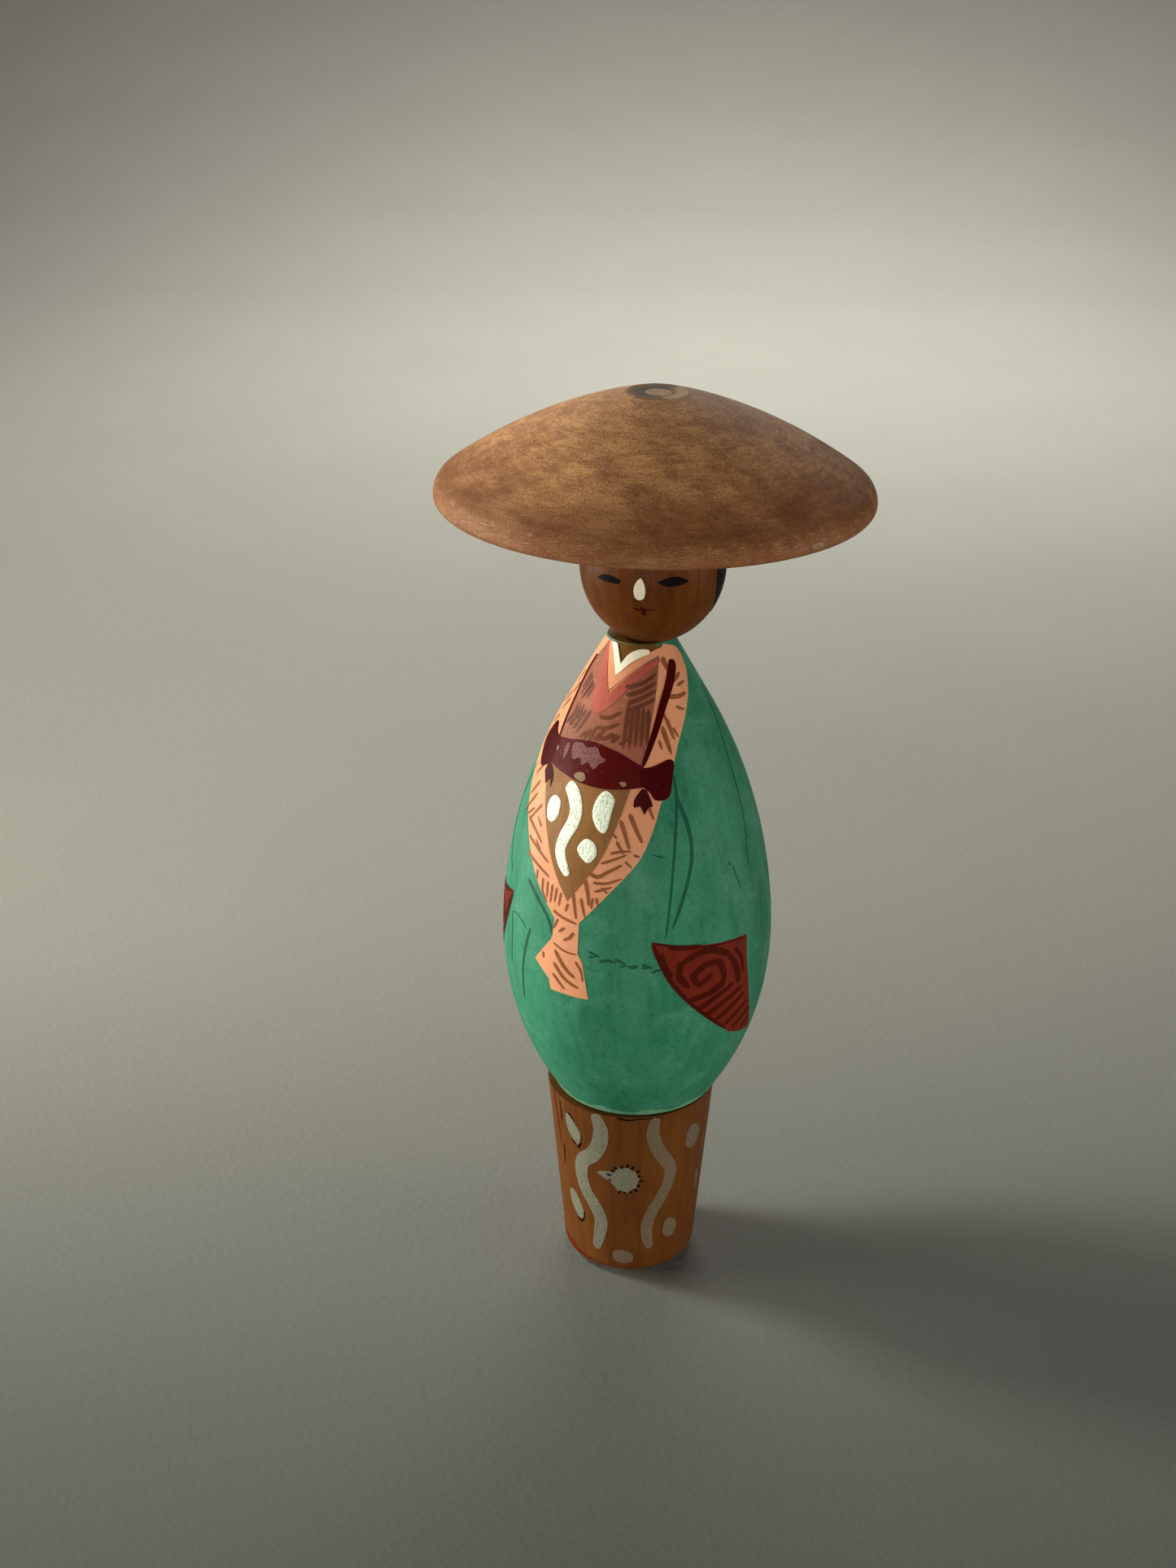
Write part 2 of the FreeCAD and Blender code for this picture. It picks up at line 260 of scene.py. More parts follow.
@dataclass(frozen=True)
class GrittyPaint:
    """Thick pale paint full of fine grit.

    Attributes:
        name: Name of the material.
        colour: Colour of the grains.
        gap: Colour between the grains.
        cover: How much of the gap colour is hidden, from 0 to 1.
    """

    name: str
    colour: Colour
    gap: Colour
    cover: float

    @functools.cache
    def material(self) -> bpy.types.Material:
        """Build the material once."""
        shader = Shader(self.name)
        grains = shader.noise(0.2 * MM, detail=2)
        cloud = shader.noise(1.6 * MM, detail=2)
        open_from, open_to = 0.62 - 0.25 * self.cover, 0.36 - 0.16 * self.cover
        gaps = (grains + (cloud - 0.5) * 0.25).between(open_from, open_to)
        shader.set(base_color=shader.mix(gaps, self.colour, self.gap), roughness=0.75)
        shader.bump(grains, 0.05 * MM)
        return shader.material


@dataclass(frozen=True)
class StainedWood:
    """Brown stained hat wood with turning rings, pores and cloudy stain, and painted shade towards the rim.

    Attributes:
        axis: A point on the turning axis.
        light: Colour where the stain is thin.
        dark: Colour where it is thick.
        pore: Colour of the open pores and the dark grit.
        rim: Colour towards the rim, painted shade that darkens the hat towards its rim.
        dust: Colour of the worn and dusty grains.
    """

    axis: tuple[float, float, float]
    light: Colour = paint_box(200, 148, 96)
    dark: Colour = paint_box(138, 88, 56)
    pore: Colour = paint_box(82, 46, 26)
    rim: Colour = paint_box(92, 46, 20)
    dust: Colour = paint_box(214, 180, 138)

    @functools.cache
    def material(self) -> bpy.types.Material:
        """Build the material once."""
        shader = Shader("stained_hat_wood")
        radius, height, direction = shader.about(Vector(self.axis))
        around = shader.rolled(direction, radius + height * 0.5, 7 * MM, 4.0)
        rings = shader.noise(2.2 * MM, place=around, detail=6, warp=0.6)
        fine = shader.noise(0.8 * MM, place=around, detail=5, warp=0.4)
        clouds = shader.noise(5 * MM, stretch=(1.8, 1, 1), detail=8, warp=0.7)
        blots = shader.noise(1.9 * MM, stretch=(1.6, 1, 1), detail=5, warp=0.5)
        grit = shader.noise(0.22 * MM, detail=3)
        pores = shader.noise(0.42 * MM, stretch=(2.5, 1, 1), detail=2)
        stain = (clouds.between(0.34, 0.68) * 0.3 + rings.between(0.36, 0.66) * 0.32
                 + blots.between(0.36, 0.64) * 0.38)
        colour = shader.mix(stain, self.light, self.dark)
        colour = shader.mix(fine.between(0.45, 0.7) * 0.5, colour, self.dark)
        colour = shader.mix(grit.between(0.5, 0.66) * 0.45, colour, self.pore)
        colour = shader.mix(pores.between(0.6, 0.7) * 0.35, colour, self.pore)
        colour = shader.mix(grit.between(0.42, 0.28) * 0.45, colour, self.dust)
        # Painted shade: the hat is darkened towards its rim.
        edge = (radius + (clouds - 0.5) * 8 * MM).between(15 * MM, 23.5 * MM)
        colour = shader.mix(edge * 0.72, colour, self.rim)
        lip_place = shader.rolled(direction, radius + height, 9 * MM, 12.0)
        lip = shader.noise(0.45 * MM, place=lip_place, detail=3)
        lip_wear = lip.between(0.54, 0.7) * radius.between(22.8 * MM, 23.4 * MM) * 0.22
        colour = shader.mix(lip_wear, colour, self.dust)
        shader.set(base_color=colour, roughness=fine * 0.2 + 0.55, specular_ior_level=0.12)
        shader.bump(fine * 0.4 + blots * 0.2 + grit * 0.4, 0.07 * MM)
        return shader.material


@dataclass(frozen=True)
class WashedWood:
    """Close-grained wood under a thin coloured wash.

    Attributes:
        name: Name of the material.
        axis: A point on the turning axis; not used.
        light: Colour of the open grain.
        dark: Colour of the dense grain.
        roughness: Roughness of the finish.
    """

    name: str
    axis: tuple[float, float, float]
    light: Colour
    dark: Colour
    roughness: float

    @functools.cache
    def material(self) -> bpy.types.Material:
        """Build the material once."""
        shader = Shader(self.name)
        grain = shader.noise(1.1 * MM, stretch=(1, 1, 9), detail=4, warp=0.3)
        fine = shader.noise(0.3 * MM, stretch=(1, 1, 12), detail=2)
        clouds = shader.noise(7 * MM, stretch=(1, 1, 1.6), detail=3)
        tone = (grain.between(0.3, 0.75) * 0.4 + fine.between(0.3, 0.8) * 0.25
                + clouds.between(0.3, 0.7) * 0.35)
        shader.set(base_color=shader.mix(tone, self.light, self.dark),
                   roughness=fine * 0.15 + (self.roughness - 0.07), specular_ior_level=0.07)
        shader.bump(fine * 0.6 + grain * 0.4, 0.015 * MM)
        return shader.material


class Layer(Enum):
    """How far the skin of a coat of paint stands off the wood, in millimetres."""

    SKIN = 0.015
    UNDER = 0.035
    COAT = 0.065
    TRIM = 0.095
    LINE = 0.125
    TOP = 0.155


def select_only(piece: bpy.types.Object) -> None:
    """Deselect everything else and make a piece the active one."""
    bpy.ops.object.select_all(action="DESELECT")
    piece.select_set(True)
    bpy.context.view_layer.objects.active = piece


def model_disc(name: str, sides: int, radius: float, centre: Vector, axis: Vector, rise: float,
               rings: tuple = ()) -> bpy.types.Object:
    """Model a disc: a circle that is drawn out along its axis, with steps cut into its face.

    Args:
        name: Name of the piece.
        sides: Sides of the circle.
        radius: Its radius.
        centre: Its centre, at the lower face of the disc.
        axis: Its axis.
        rise: Thickness of the disc.
        rings: Width and depth of each ring of the face, in millimetres, from the edge inwards.

    Returns:
        The disc.
    """
    bpy.ops.object.select_all(action="DESELECT")
    tilt = Vector((0, 0, 1)).rotation_difference(axis).to_euler()
    bpy.ops.mesh.primitive_circle_add(vertices=sides, radius=radius, fill_type="NGON", location=centre,
                                      rotation=tilt)
    disc = bpy.context.object
    disc.name = name
    bpy.ops.object.transform_apply(location=True, rotation=True, scale=True)
    bpy.ops.object.mode_set(mode="EDIT")
    bpy.ops.mesh.extrude_region_move(TRANSFORM_OT_translate={"value": axis * rise})
    for width, depth in rings:
        bpy.ops.mesh.inset(thickness=width * MM, depth=depth * MM)
    bpy.ops.mesh.select_all(action="SELECT")
    bpy.ops.mesh.normals_make_consistent(inside=False)
    bpy.ops.object.mode_set(mode="OBJECT")
    return disc


def smooth_through(points: Run, steps: int = 5) -> Run:
    """Run a smooth open curve through points.

    Args:
        points: The points, two or more.
        steps: How many pieces each span is cut into.

    Returns:
        The points of the curve, both ends included.
    """
    if len(points) < 3:
        return list(points)
    padded = [Vector(p) for p in (points[0], *points, points[-1])]
    curve = []
    for before, start, end, after in zip(padded, padded[1:], padded[2:], padded[3:]):
        for step in range(steps):
            t = step / steps
            bend = (2 * before - 5 * start + 4 * end - after) * t ** 2
            twist = (3 * start - before - 3 * end + after) * t ** 3
            curve.append(tuple(start + 0.5 * ((end - before) * t + bend + twist)))
    return [*curve, tuple(points[-1])]


def outline(*runs: Run) -> Run:
    """Close an outline made of smooth runs that meet at corners.

    Args:
        runs: The runs, in order; one may start where the last one ended.

    Returns:
        The outline, with no point twice in a row.
    """
    whole = [point for run in runs for point in smooth_through(run)]
    return [here for before, here in zip([whole[-1], *whole], whole) if here != before]


def blob(points: Run) -> Run:
    """Close a smooth outline with no corner."""
    ring = [*points[-2:], *points, *points[:2]]
    steps = 5
    curve = smooth_through(ring, steps)
    return curve[2 * steps:(2 + len(points)) * steps]


@dataclass(frozen=True)
class Turning:
    """One turned piece that paint is laid on.

    Attributes:
        node: The CAD node.
        body: The CAD body that the piece moves with.
        origin: Where its axis meets its lower end.
        axis: Direction of its axis.
        front: Degrees from the front of the doll to the painted front of the piece.
    """

    node: str
    body: str
    origin: tuple[float, float, float]
    axis: tuple[float, float, float] = (0.0, 0.0, 1.0)
    front: float = 0.0

    @functools.cached_property
    def skin(self) -> BVHTree:
        """Search tree of the node's surface."""
        return BVHTree.FromObject(frame["nodes"][self.node], bpy.context.evaluated_depsgraph_get())

    @functools.cached_property
    def stance(self) -> Matrix:
        """Turn from an upright piece to this one."""
        return Vector((0, 0, 1)).rotation_difference(Vector(self.axis)).to_matrix()

    def point(self, degrees: float, height: float, lift: float = 0.0) -> Vector:
        """Find a point on the surface.

        Args:
            degrees: Degrees round from the painted front.
            height: Millimetres above the lower end.
            lift: Millimetres outwards from the surface.

        Returns:
            The point.
        """
        angle = math.radians(degrees + self.front)
        outward = self.stance @ Vector((math.sin(angle), -math.cos(angle), 0))
        middle = Vector(self.origin) + self.stance @ Vector((0, 0, height * MM))
        reach = 0.1
        hit, normal, _, _ = self.skin.ray_cast(middle + outward * reach, -outward)
        if hit is None:
            raise ValueError(f"{self.node} has no surface at {degrees:.0f} degrees, {height:.1f} mm")
        return hit + normal * (lift * MM)

    def radius(self, height: float) -> float:
        """Give the radius at a height, both in millimetres."""
        middle = Vector(self.origin) + self.stance @ Vector((0, 0, height * MM))
        return (self.point(0, height) - middle).length / MM

    def stroke(self, path: Run, width: float, tip: float = 0.35) -> Run:
        """Outline a brush stroke.

        Args:
            path: Points that the brush went through.
            width: Width in millimetres.
            tip: Width of the far end, as a share of the full width.

        Returns:
            The outline, in degrees and millimetres.
        """
        line = smooth_through(path, 6)
        if len(line) == 2:
            line = [tuple(Vector(path[0]).lerp(Vector(path[1]), k / 6)) for k in range(7)]
        left, right = [], []
        for number, here in enumerate(line):
            before, after = line[max(number - 1, 0)], line[min(number + 1, len(line) - 1)]
            per_degree = math.radians(self.radius(here[1]))
            along = Vector(((after[0] - before[0]) * per_degree, after[1] - before[1])).normalized()
            share = number / (len(line) - 1)
            rounding = math.sqrt(max(0.0, 1 - (2 * share - 1) ** 6))
            half = 0.5 * width * (0.25 + 0.75 * rounding) * (1 - (1 - tip) * share)
            aside = Vector((-along.y / per_degree, along.x)) * half
            left.append((here[0] + aside.x, here[1] + aside.y))
            right.append((here[0] - aside.x, here[1] - aside.y))
        return [*left, *reversed(right)]


def facing_out(points: Run) -> Run:
    """Order an outline so that its face looks outwards."""
    area = sum(a[0] * b[1] - b[0] * a[1] for a, b in zip(points, [*points[1:], points[0]]))
    return points if area > 0 else points[::-1]


@dataclass
class Film:
    """A coat of paint as a thin closed skin that follows a turned piece.

    Attributes:
        name: Name of the piece.
        turning: The turned piece that carries it.
        outlines: Closed outlines, in degrees and millimetres.
        layer: How far it stands off the wood.
        finish: Its finish.
        slot: The record's material slot; not used.
        grid: Size of the facets, in degrees and millimetres.
    """

    name: str
    turning: Turning
    outlines: list[Run]
    layer: Layer
    finish: Paint | GrittyPaint
    slot: str
    grid: Spot = (4.0, 1.5)

    SINK = 0.03  # millimetres that every coat reaches into the wood

    def flat(self) -> bpy.types.Object:
        """Draw the outlines flat, one millimetre to the degree, and cut them into facets."""
        corners, faces = [], []
        for points in self.outlines:
            ordered = facing_out(points)
            faces.append(range(len(corners), len(corners) + len(ordered)))
            corners += [(x * MM, 0, z * MM) for x, z in ordered]
        mesh = bpy.data.meshes.new(self.name)
        mesh.from_pydata(corners, [], faces)
        piece = bpy.data.objects.new(self.name, mesh)
        bpy.context.collection.objects.link(piece)
        select_only(piece)
        bpy.ops.object.mode_set(mode="EDIT")
        bpy.ops.mesh.select_all(action="SELECT")
        bpy.ops.mesh.quads_convert_to_tris(ngon_method="BEAUTY")
        for number, step in ((0, self.grid[0]), (2, self.grid[1])):
            low = min(corner[number] for corner in corners) / MM
            high = max(corner[number] for corner in corners) / MM
            across = [0, 0, 0]
            across[number] = 1
            for cut in range(math.floor(low / step) + 1, math.ceil(high / step)):
                bpy.ops.mesh.select_all(action="SELECT")
                where = [cut * step * MM * share for share in across]
                bpy.ops.mesh.bisect(plane_co=where, plane_no=across)
        bpy.ops.object.mode_set(mode="OBJECT")
        return piece

    def lift(self, degrees: float, height: float) -> float:
        """Give the height of the skin above the wood at a place."""
        return self.layer.value

    def build(self) -> bpy.types.Object:
        """Lay the paint on the piece.

        Returns:
            The finished piece.
        """
        piece = self.flat()
        for vertex in piece.data.vertices:
            degrees, height = vertex.co.x / MM, vertex.co.z / MM
            vertex.co = self.turning.point(degrees, height, self.lift(degrees, height))
        wall = piece.modifiers.new("wall", "SOLIDIFY")
        wall.thickness = (self.layer.value + self.SINK) * MM
        wall.offset = -1
        select_only(piece)
        bpy.ops.object.modifier_apply(modifier="wall")
        bpy.ops.object.shade_smooth_by_angle(angle=math.radians(35))
        piece.data.materials.append(self.finish.material())
        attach(piece, self.turning.body)
        log.info("%s: %d faces", self.name, len(piece.data.polygons))
        return piece


@dataclass
class RaisedFilm(Film):
    """Thick gritty paint with a rounded edge and real grains.

    Attributes:
        height: Height of the middle of the paint, in millimetres.
        edge: Width of the rounded edge, in millimetres.
        grit: Height of the grains, in millimetres.
    """

    height: float = 0.16
    edge: float = 0.35
    grit: float = 0.05
    grid: Spot = (0.9, 0.22)

    def lift(self, degrees: float, height: float) -> float:
        """Give the height of the skin above the wood at a place."""
        per_degree = math.radians(self.turning.radius(height))
        nearest = self.edge
        for points in self.outlines:
            for start, end in zip(points, [*points[1:], points[0]]):
                a = Vector(((start[0] - degrees) * per_degree, start[1] - height))
                b = Vector(((end[0] - degrees) * per_degree, end[1] - height))
                span = b - a
                share = min(1.0, max(0.0, -a.dot(span) / max(span.length_squared, 1e-9)))
                nearest = min(nearest, (a + span * share).length)
        inner = nearest / self.edge
        swell = math.sqrt(max(0.0, 1 - (1 - inner) ** 2))
        grain_size = 0.28
        spot = Vector((degrees * per_degree, height, 0.0)) / grain_size
        grain = noise.noise(spot) * self.grit * inner
        return self.layer.value + (self.height - self.layer.value) * swell + grain


GREEN = Paint("green_coat", paint_box(54, 126, 94), paint_box(26, 94, 68), paint_box(8, 62, 44),
              fleck_share=0.15, mottle=1.0, worn_colour=paint_box(80, 138, 112))
PALE_GREEN = Paint("green_edge", paint_box(110, 156, 122), paint_box(56, 116, 88), mottle=0.9)
PEACH = Paint("peach_lapel", paint_box(212, 146, 106), paint_box(184, 118, 82), paint_box(146, 88, 54),
              fleck_share=0.14, mottle=0.6)
DUSTY = Paint("dusty_red_robe", paint_box(150, 88, 64), paint_box(104, 60, 38), paint_box(194, 142, 114),
              fleck_share=0.14, mottle=0.9, streak=Streak.DABBED)
ROSE = Paint("rose_lining", paint_box(168, 78, 64), paint_box(138, 70, 52), mottle=0.6)
CHALK = Paint("white_collar", paint_box(236, 228, 202), paint_box(214, 202, 172), mottle=0.5)
MAROON = Paint("maroon_band", paint_box(78, 6, 6), paint_box(54, 2, 3), paint_box(150, 110, 88),
               fleck_share=0.06, mottle=0.6, streak=Streak.DABBED, roughness=0.5, sheen=0.05)
# Pale speckles for the band: partly worn paint, partly painted sheen.
BAND_WEAR_AND_SHEEN = GrittyPaint("worn_band_with_painted_sheen", paint_box(112, 62, 58), paint_box(80, 10, 10), cover=0.0)
CHIP = Paint("pale_chip", paint_box(140, 124, 94), paint_box(110, 74, 54), mottle=0.9, streak=Streak.DABBED)
WINE = Paint("wine_cord", paint_box(64, 2, 4), paint_box(46, 1, 1), mottle=0.4, roughness=0.5, sheen=0.04)
TAN = Paint("brown_apron", paint_box(136, 94, 48), paint_box(98, 62, 26), mottle=0.8)
HATCH = Paint("brown_hatching", paint_box(138, 82, 44), paint_box(104, 58, 26), mottle=0.8)
UMBER = Paint("umber_weave", paint_box(104, 54, 30), paint_box(76, 36, 18), mottle=0.9)
BRICK = Paint("brick_sleeve", paint_box(108, 34, 20), paint_box(82, 20, 8), mottle=0.7, sheen=0.06)
FRET = Paint("dark_fret", paint_box(70, 18, 6), paint_box(52, 10, 3), mottle=0.6, sheen=0.04)
PINE = Paint("dark_green_line", paint_box(16, 78, 56), paint_box(8, 58, 40), mottle=0.7)
INK = Paint("ink", paint_box(10, 6, 4), paint_box(18, 10, 6), mottle=0.5, roughness=0.5, sheen=0.04)
LIP = Paint("lip_brown", paint_box(58, 12, 4), paint_box(44, 8, 3), mottle=0.4, sheen=0.04)
NOSE = Paint("nose_white", paint_box(216, 206, 178), paint_box(190, 180, 150), mottle=0.4)
OLIVE = Paint("bare_neck", paint_box(100, 66, 24), paint_box(78, 48, 14), mottle=0.7, sheen=0.08)
GRIT = GrittyPaint("gritty_white", paint_box(226, 234, 212), paint_box(158, 166, 136), cover=0.45)
FADED_GRIT = GrittyPaint("faded_gritty_white", paint_box(106, 106, 86), paint_box(92, 80, 58), cover=0.3)
FAINT_GRIT = GrittyPaint("faint_gritty_white", paint_box(96, 82, 60), paint_box(90, 60, 34), cover=0.3)
RED_RIM = Paint("red_rim", paint_box(100, 22, 12), paint_box(84, 34, 14), mottle=0.9, sheen=0.06)


@dataclass
class Robe:
    """The painted robe, collar, sash and sleeves on the body.

    Attributes:
        cloth: The turned body that the robe is painted on.
        bold: How much wider the hatching is than its strokes say.
        left_turn: Twice the degrees of the upright line that the two sleeve ends mirror about.
        left_rise: Millimetres that the left sleeve end sits higher than the right one.
        top_inset: Millimetres between the edge of the bare neck top and the edge of its disc.
    """

    cloth: Turning
    bold: float = 1.35
    left_turn: float = -12.0
    left_rise: float = 1.2
    top_inset: float = 0.1

    def film(self, name: str, outlines: list[Run], layer: Layer, finish: Paint) -> None:
        """Lay one coat of the robe."""
        Film(name, self.cloth, outlines, layer, finish, "painted_robe").build()

    def strokes(self, name: str, paths: list[tuple], layer: Layer, finish: Paint) -> None:
        """Draw brush strokes.

        Args:
            name: Name of the piece.
            paths: For each stroke its width in millimetres and then its points.
            layer: How far they stand off the wood.
            finish: Their paint.
        """
        outlines = [self.cloth.stroke(list(path), width, 0.65) for width, *path in paths]
        self.film(name, outlines, layer, finish)

    def coat(self) -> None:
        """Green coat over the whole body, with its thick lower edge and drawn folds."""
        dress(self.cloth.node, GREEN.material())
        around = 72
        upper = [(360 * k / around, 0.85 + 0.26 * math.sin(5.3 * k) + 0.14 * math.sin(2.1 * k))
                 for k in range(around)]
        ring = [*[(degrees - 180, height) for degrees, height in upper], (180, upper[0][1]), (180, 0.15),
                (-180, 0.15)]
        self.film("coat_edge", [ring], Layer.COAT, PALE_GREEN)
        folds = [
            (0.22, (110, 51.2), (97, 46.4), (92, 42.9), (89, 37.7), (84, 32)),
            (0.16, (73, 32.9), (76, 30.1)), (0.3, (70.5, 33.5), (71.5, 33.1)),
            (0.34, (46, 44), (46, 41.6), (42.5, 36.5), (40, 32), (37, 26.5)),
            (0.5, (46, 41.8), (49, 39.9), (51, 37.6), (50.5, 35), (46, 31.5), (40, 27.6)),
            (0.2, (32, 36), (38, 35.6)), (0.16, (-42, 25.1), (-36, 25.3), (-29, 24.6)),
            (0.4, (-26, 24.8), (-29, 22), (-31, 19), (-32, 15)), (0.2, (-42, 25), (-41, 22.3), (-42, 18.5)),
            (0.3, (-56, 42), (-64, 36), (-56, 31.4), (-48, 29.3)),
            (0.5, (-31, 30.3), (-24, 29), (-16, 27.2), (-12.5, 25.2)),
            (0.25, (108, 30), (112, 22), (111, 12)), (0.3, (150, 46), (142, 30), (146, 14)),
            (0.3, (-110, 44), (-104, 30), (-108, 15)), (0.3, (180, 50), (184, 32), (178, 13))
        ]
        self.strokes("coat_folds", folds, Layer.UNDER, PINE)
        dabs = [(0.34, (5 + 5.5 * k, 24.3 - 0.25 * k + 0.3 * (-1) ** k), (9.5 + 5.5 * k, 24.1 - 0.25 * k))
                for k in range(6)]
        dabs += [(0.26, (5 + 4.4 * k, 23.9 - 0.2 * k + 0.25 * math.sin(4 * k)),
                  (8 + 4.4 * k, 24.1 - 0.2 * k)) for k in range(7)]
        self.strokes("coat_dabs", dabs, Layer.UNDER, PINE)

    def lapels(self) -> None:
        """Peach lapels that meet in a knot with two short tails."""
        left = [(-66, BODY_TOP), (-72, 53.9), (-74, 50.4), (-73, 47.2), (-68, 44.5), (-59, 41.4),
                (-50, 38.6), (-36, 34.3), (-25, 30.9), (-12, 27.4)]
        right = [(0, 27.7), (13, 31.7), (21, 34), (27, 35.9), (33, 38.9), (38, 41.7), (50, 46.2), (57, 48),
                 (66, 49.7), (80, 51.9), (94, 54.2), (92, 55.8), (66, BODY_TOP)]
        corners = [(-12, 27.4), (-13, 24.9), (-22, 21.6), (-14, 19.8), (-13, 18.5), (5, 18.5), (2.3, 22.9),
                   (0, 24), (0, 25.7)]
        neckline = [(54, 56), (26, 55.8), (-3, 53.9), (-13, 55.3), (-22, BODY_TOP)]
        self.film("peach_lapels", [[*smooth_through(left), *corners, *smooth_through(right), *neckline]],
                  Layer.UNDER, PEACH)

    def hatching(self) -> None:
        """Brown brush strokes over the lapels and the knot."""
        left = [
            (0.3, (-42, 40.8), (-49, 38.6)), (0.28, (-40.5, 39.5), (-49.5, 36.6)),
            (0.28, (-33, 38.8), (-41, 36.4)), (0.3, (-42, 36.7), (-33, 35.9), (-26, 35)),
            (0.3, (-37, 34.9), (-28, 34.2), (-19.5, 33.3)), (0.3, (-35, 33.2), (-26, 32.5), (-17.5, 31.8)),
            (0.26, (-25.5, 32), (-25, 30.9)), (0.24, (-21, 31.4), (-20.5, 30), (-17, 28.9)),
            (0.24, (-18, 31.3), (-17.5, 29.4)), (0.28, (-15, 31.2), (-15.3, 29)),
            (0.24, (-12.5, 31), (-13, 29.2)), (0.24, (-10, 30.6), (-10.6, 29))
        ]
        right = [
            (0.4, (16, 39.6), (19, 37.9), (21, 36.6)), (0.42, (20.5, 40.3), (24, 38.7), (27, 37.3)),
            (0.28, (14.5, 37.4), (18.5, 36)), (0.24, (12, 36), (17, 36.3), (22, 36.4)),
            (0.24, (8, 34.8), (14, 35.4), (20, 36)), (0.22, (19, 35.3), (22.5, 34.6)),
            (0.36, (2, 33.6), (7, 33.3), (11, 33.9), (18, 34.9)), (0.26, (5, 32.6), (11, 32.7), (18, 33.4)),
            (0.26, (6, 31.6), (14, 32.4)), (0.4, (1.2, 32.8), (3, 31.3), (4, 29.9)),
            (0.3, (-4, 31), (-3, 29.8), (-1.5, 28.1)), (0.28, (0, 30.6), (1.2, 29.6), (2.4, 28.5)),
            (0.24, (7, 31), (8, 30))
        ]
        shoulder = [
            (0.42, (54, 52.9), (64, 53), (76, 53.5)), (0.4, (50, 51.7), (62, 51.4), (74, 51.5)),
            (0.36, (47, 49.6), (50.5, 47.4)), (0.45, (42.5, 48.9), (46.5, 46.1)),
            (0.26, (39, 47.6), (40.5, 46.6)), (0.26, (58, 50.5), (66, 50)), (0.5, (57, 55.4), (60, 54)),
            (0.24, (-53, 51.4), (-57, 50)), (0.24, (-54, 49.6), (-60, 47.9))
        ]
        knot = [
            (0.3, (-13, 28.3), (-9, 27.9), (-1, 27.5)), (0.26, (-10.3, 27.5), (-12.3, 26.2)),
            (0.3, (-6.6, 26.7), (-9.6, 26)), (0.32, (-2.2, 26.4), (-4.4, 25.6), (-7, 25.2)),
            (0.2, (-12, 24.5), (-6, 23.9), (-0.4, 23.9)), (0.4, (-11, 23.7), (-6, 21.9), (-1, 20.9)),
            (0.36, (-11.5, 22.1), (-6, 20.5), (0.6, 19.7)), (0.3, (-12, 20.7), (-6, 19.1)),
            (0.26, (-1, 23), (1.6, 22), (2.6, 20.7)), (0.24, (-17.3, 22.9), (-17, 22.1))
        ]
        between = [
            (0.26, (25, 41.8), (28, 40.4)), (0.28, (30, 41.2), (33, 39.7)), (0.22, (12, 38.2), (15, 37.6)),
            (0.24, (23, 36), (26, 35.8)), (0.24, (-44, 42.6), (-51, 40.9)), (0.24, (-47, 44), (-54, 42.6)),
            (0.24, (-39, 37.9), (-45, 36.6)), (0.22, (-29, 36.6), (-34, 37.4)),
            (0.24, (-26, 34.2), (-31, 35)), (0.22, (9, 32.2), (12, 31.6)), (0.24, (-6, 29.6), (-7, 28.6)),
            (0.24, (5.5, 30.9), (5, 29.6)), (0.3, (44, 50.4), (48, 49)), (0.26, (51, 48.6), (54, 47.6)),
            (0.26, (66, 52.4), (78, 52.6)), (0.22, (-59, 52.6), (-63, 51)), (0.22, (-61, 50), (-66, 48.4)),
            (0.22, (-58, 47.4), (-65, 46))
        ]
        strokes = (*left, *right, *between, *shoulder, *knot)
        bolder = [(self.bold * width, *path) for width, *path in strokes]
        self.strokes("lapel_hatching", bolder, Layer.COAT, HATCH)

    def under_robe(self) -> None:
        """Dusty red under-robe with its brown weave."""
        chest = outline(
            [(-38, BODY_TOP), (-48, 54.7), (-50, 52.7), (-46, 49.7), (-40, 45.5)],
            [(-40, 45.5), (26, 44.5)],
            [(26, 44.5), (32, 48.2), (38, 50.8), (45, 53.4), (53, 55.7)],
            [(53, 55.7), (30, 54.9), (10, 53.2), (-8, 51.6)],
            [(-8, 51.6), (-20, 54.2), (-30, BODY_TOP)]
        )
        self.film("under_robe", [chest], Layer.COAT, DUSTY)
        slanted = [(0.5, (-19 - 5 * k, 49.7 - 0.1 * k), (-25 - 5 * k, 47.2 + 0.1 * k)) for k in range(4)]
        slanted += [(0.42, (-31, 52.4), (-36, 50.2)), (0.42, (-35, 52.8), (-40, 50.6)),
                    (0.4, (-39, 53), (-43, 51.2))]
        slanted += [(0.3, (-29 - 4 * k, 50 - 0.1 * k), (-28 - 4 * k, 47.6)) for k in range(3)]
        slanted += [(0.44, (-9 - 4 * k, 48.4 - 0.4 * k), (-12 - 4.4 * k, 46.9)) for k in range(3)]
        slanted += [(0.4, (-26 - 4 * k, 52.2 + 0.1 * k), (-30 - 4 * k, 50.6)) for k in range(2)]
        fanned = [(0.44, (-9, 49.4 - 1.1 * k), (0, 49.5 - 1.0 * k), (9, 50.2 - 1.1 * k)) for k in range(3)]
        level = [(0.5, (10 + 2 * k, 52.6 - 0.75 * k), (26, 53 - 0.7 * k), (44 - 1.5 * k, 53.9 - 0.8 * k))
                 for k in range(4)]
        upright = [(0.55, (15 + 4.5 * k, 51 - 0.1 * k), (14 + 4 * k, 46.7 + 0.1 * k)) for k in range(5)]
        low = [(0.4, (-7 + 6 * k, 47.4 - 0.1 * k), (-1 + 6 * k, 48.3 - 0.2 * k)) for k in range(4)]
        self.strokes("robe_weave", [*slanted, *fanned, *level, *low], Layer.TRIM, UMBER)
        self.strokes("robe_columns", upright, Layer.TRIM, UMBER)

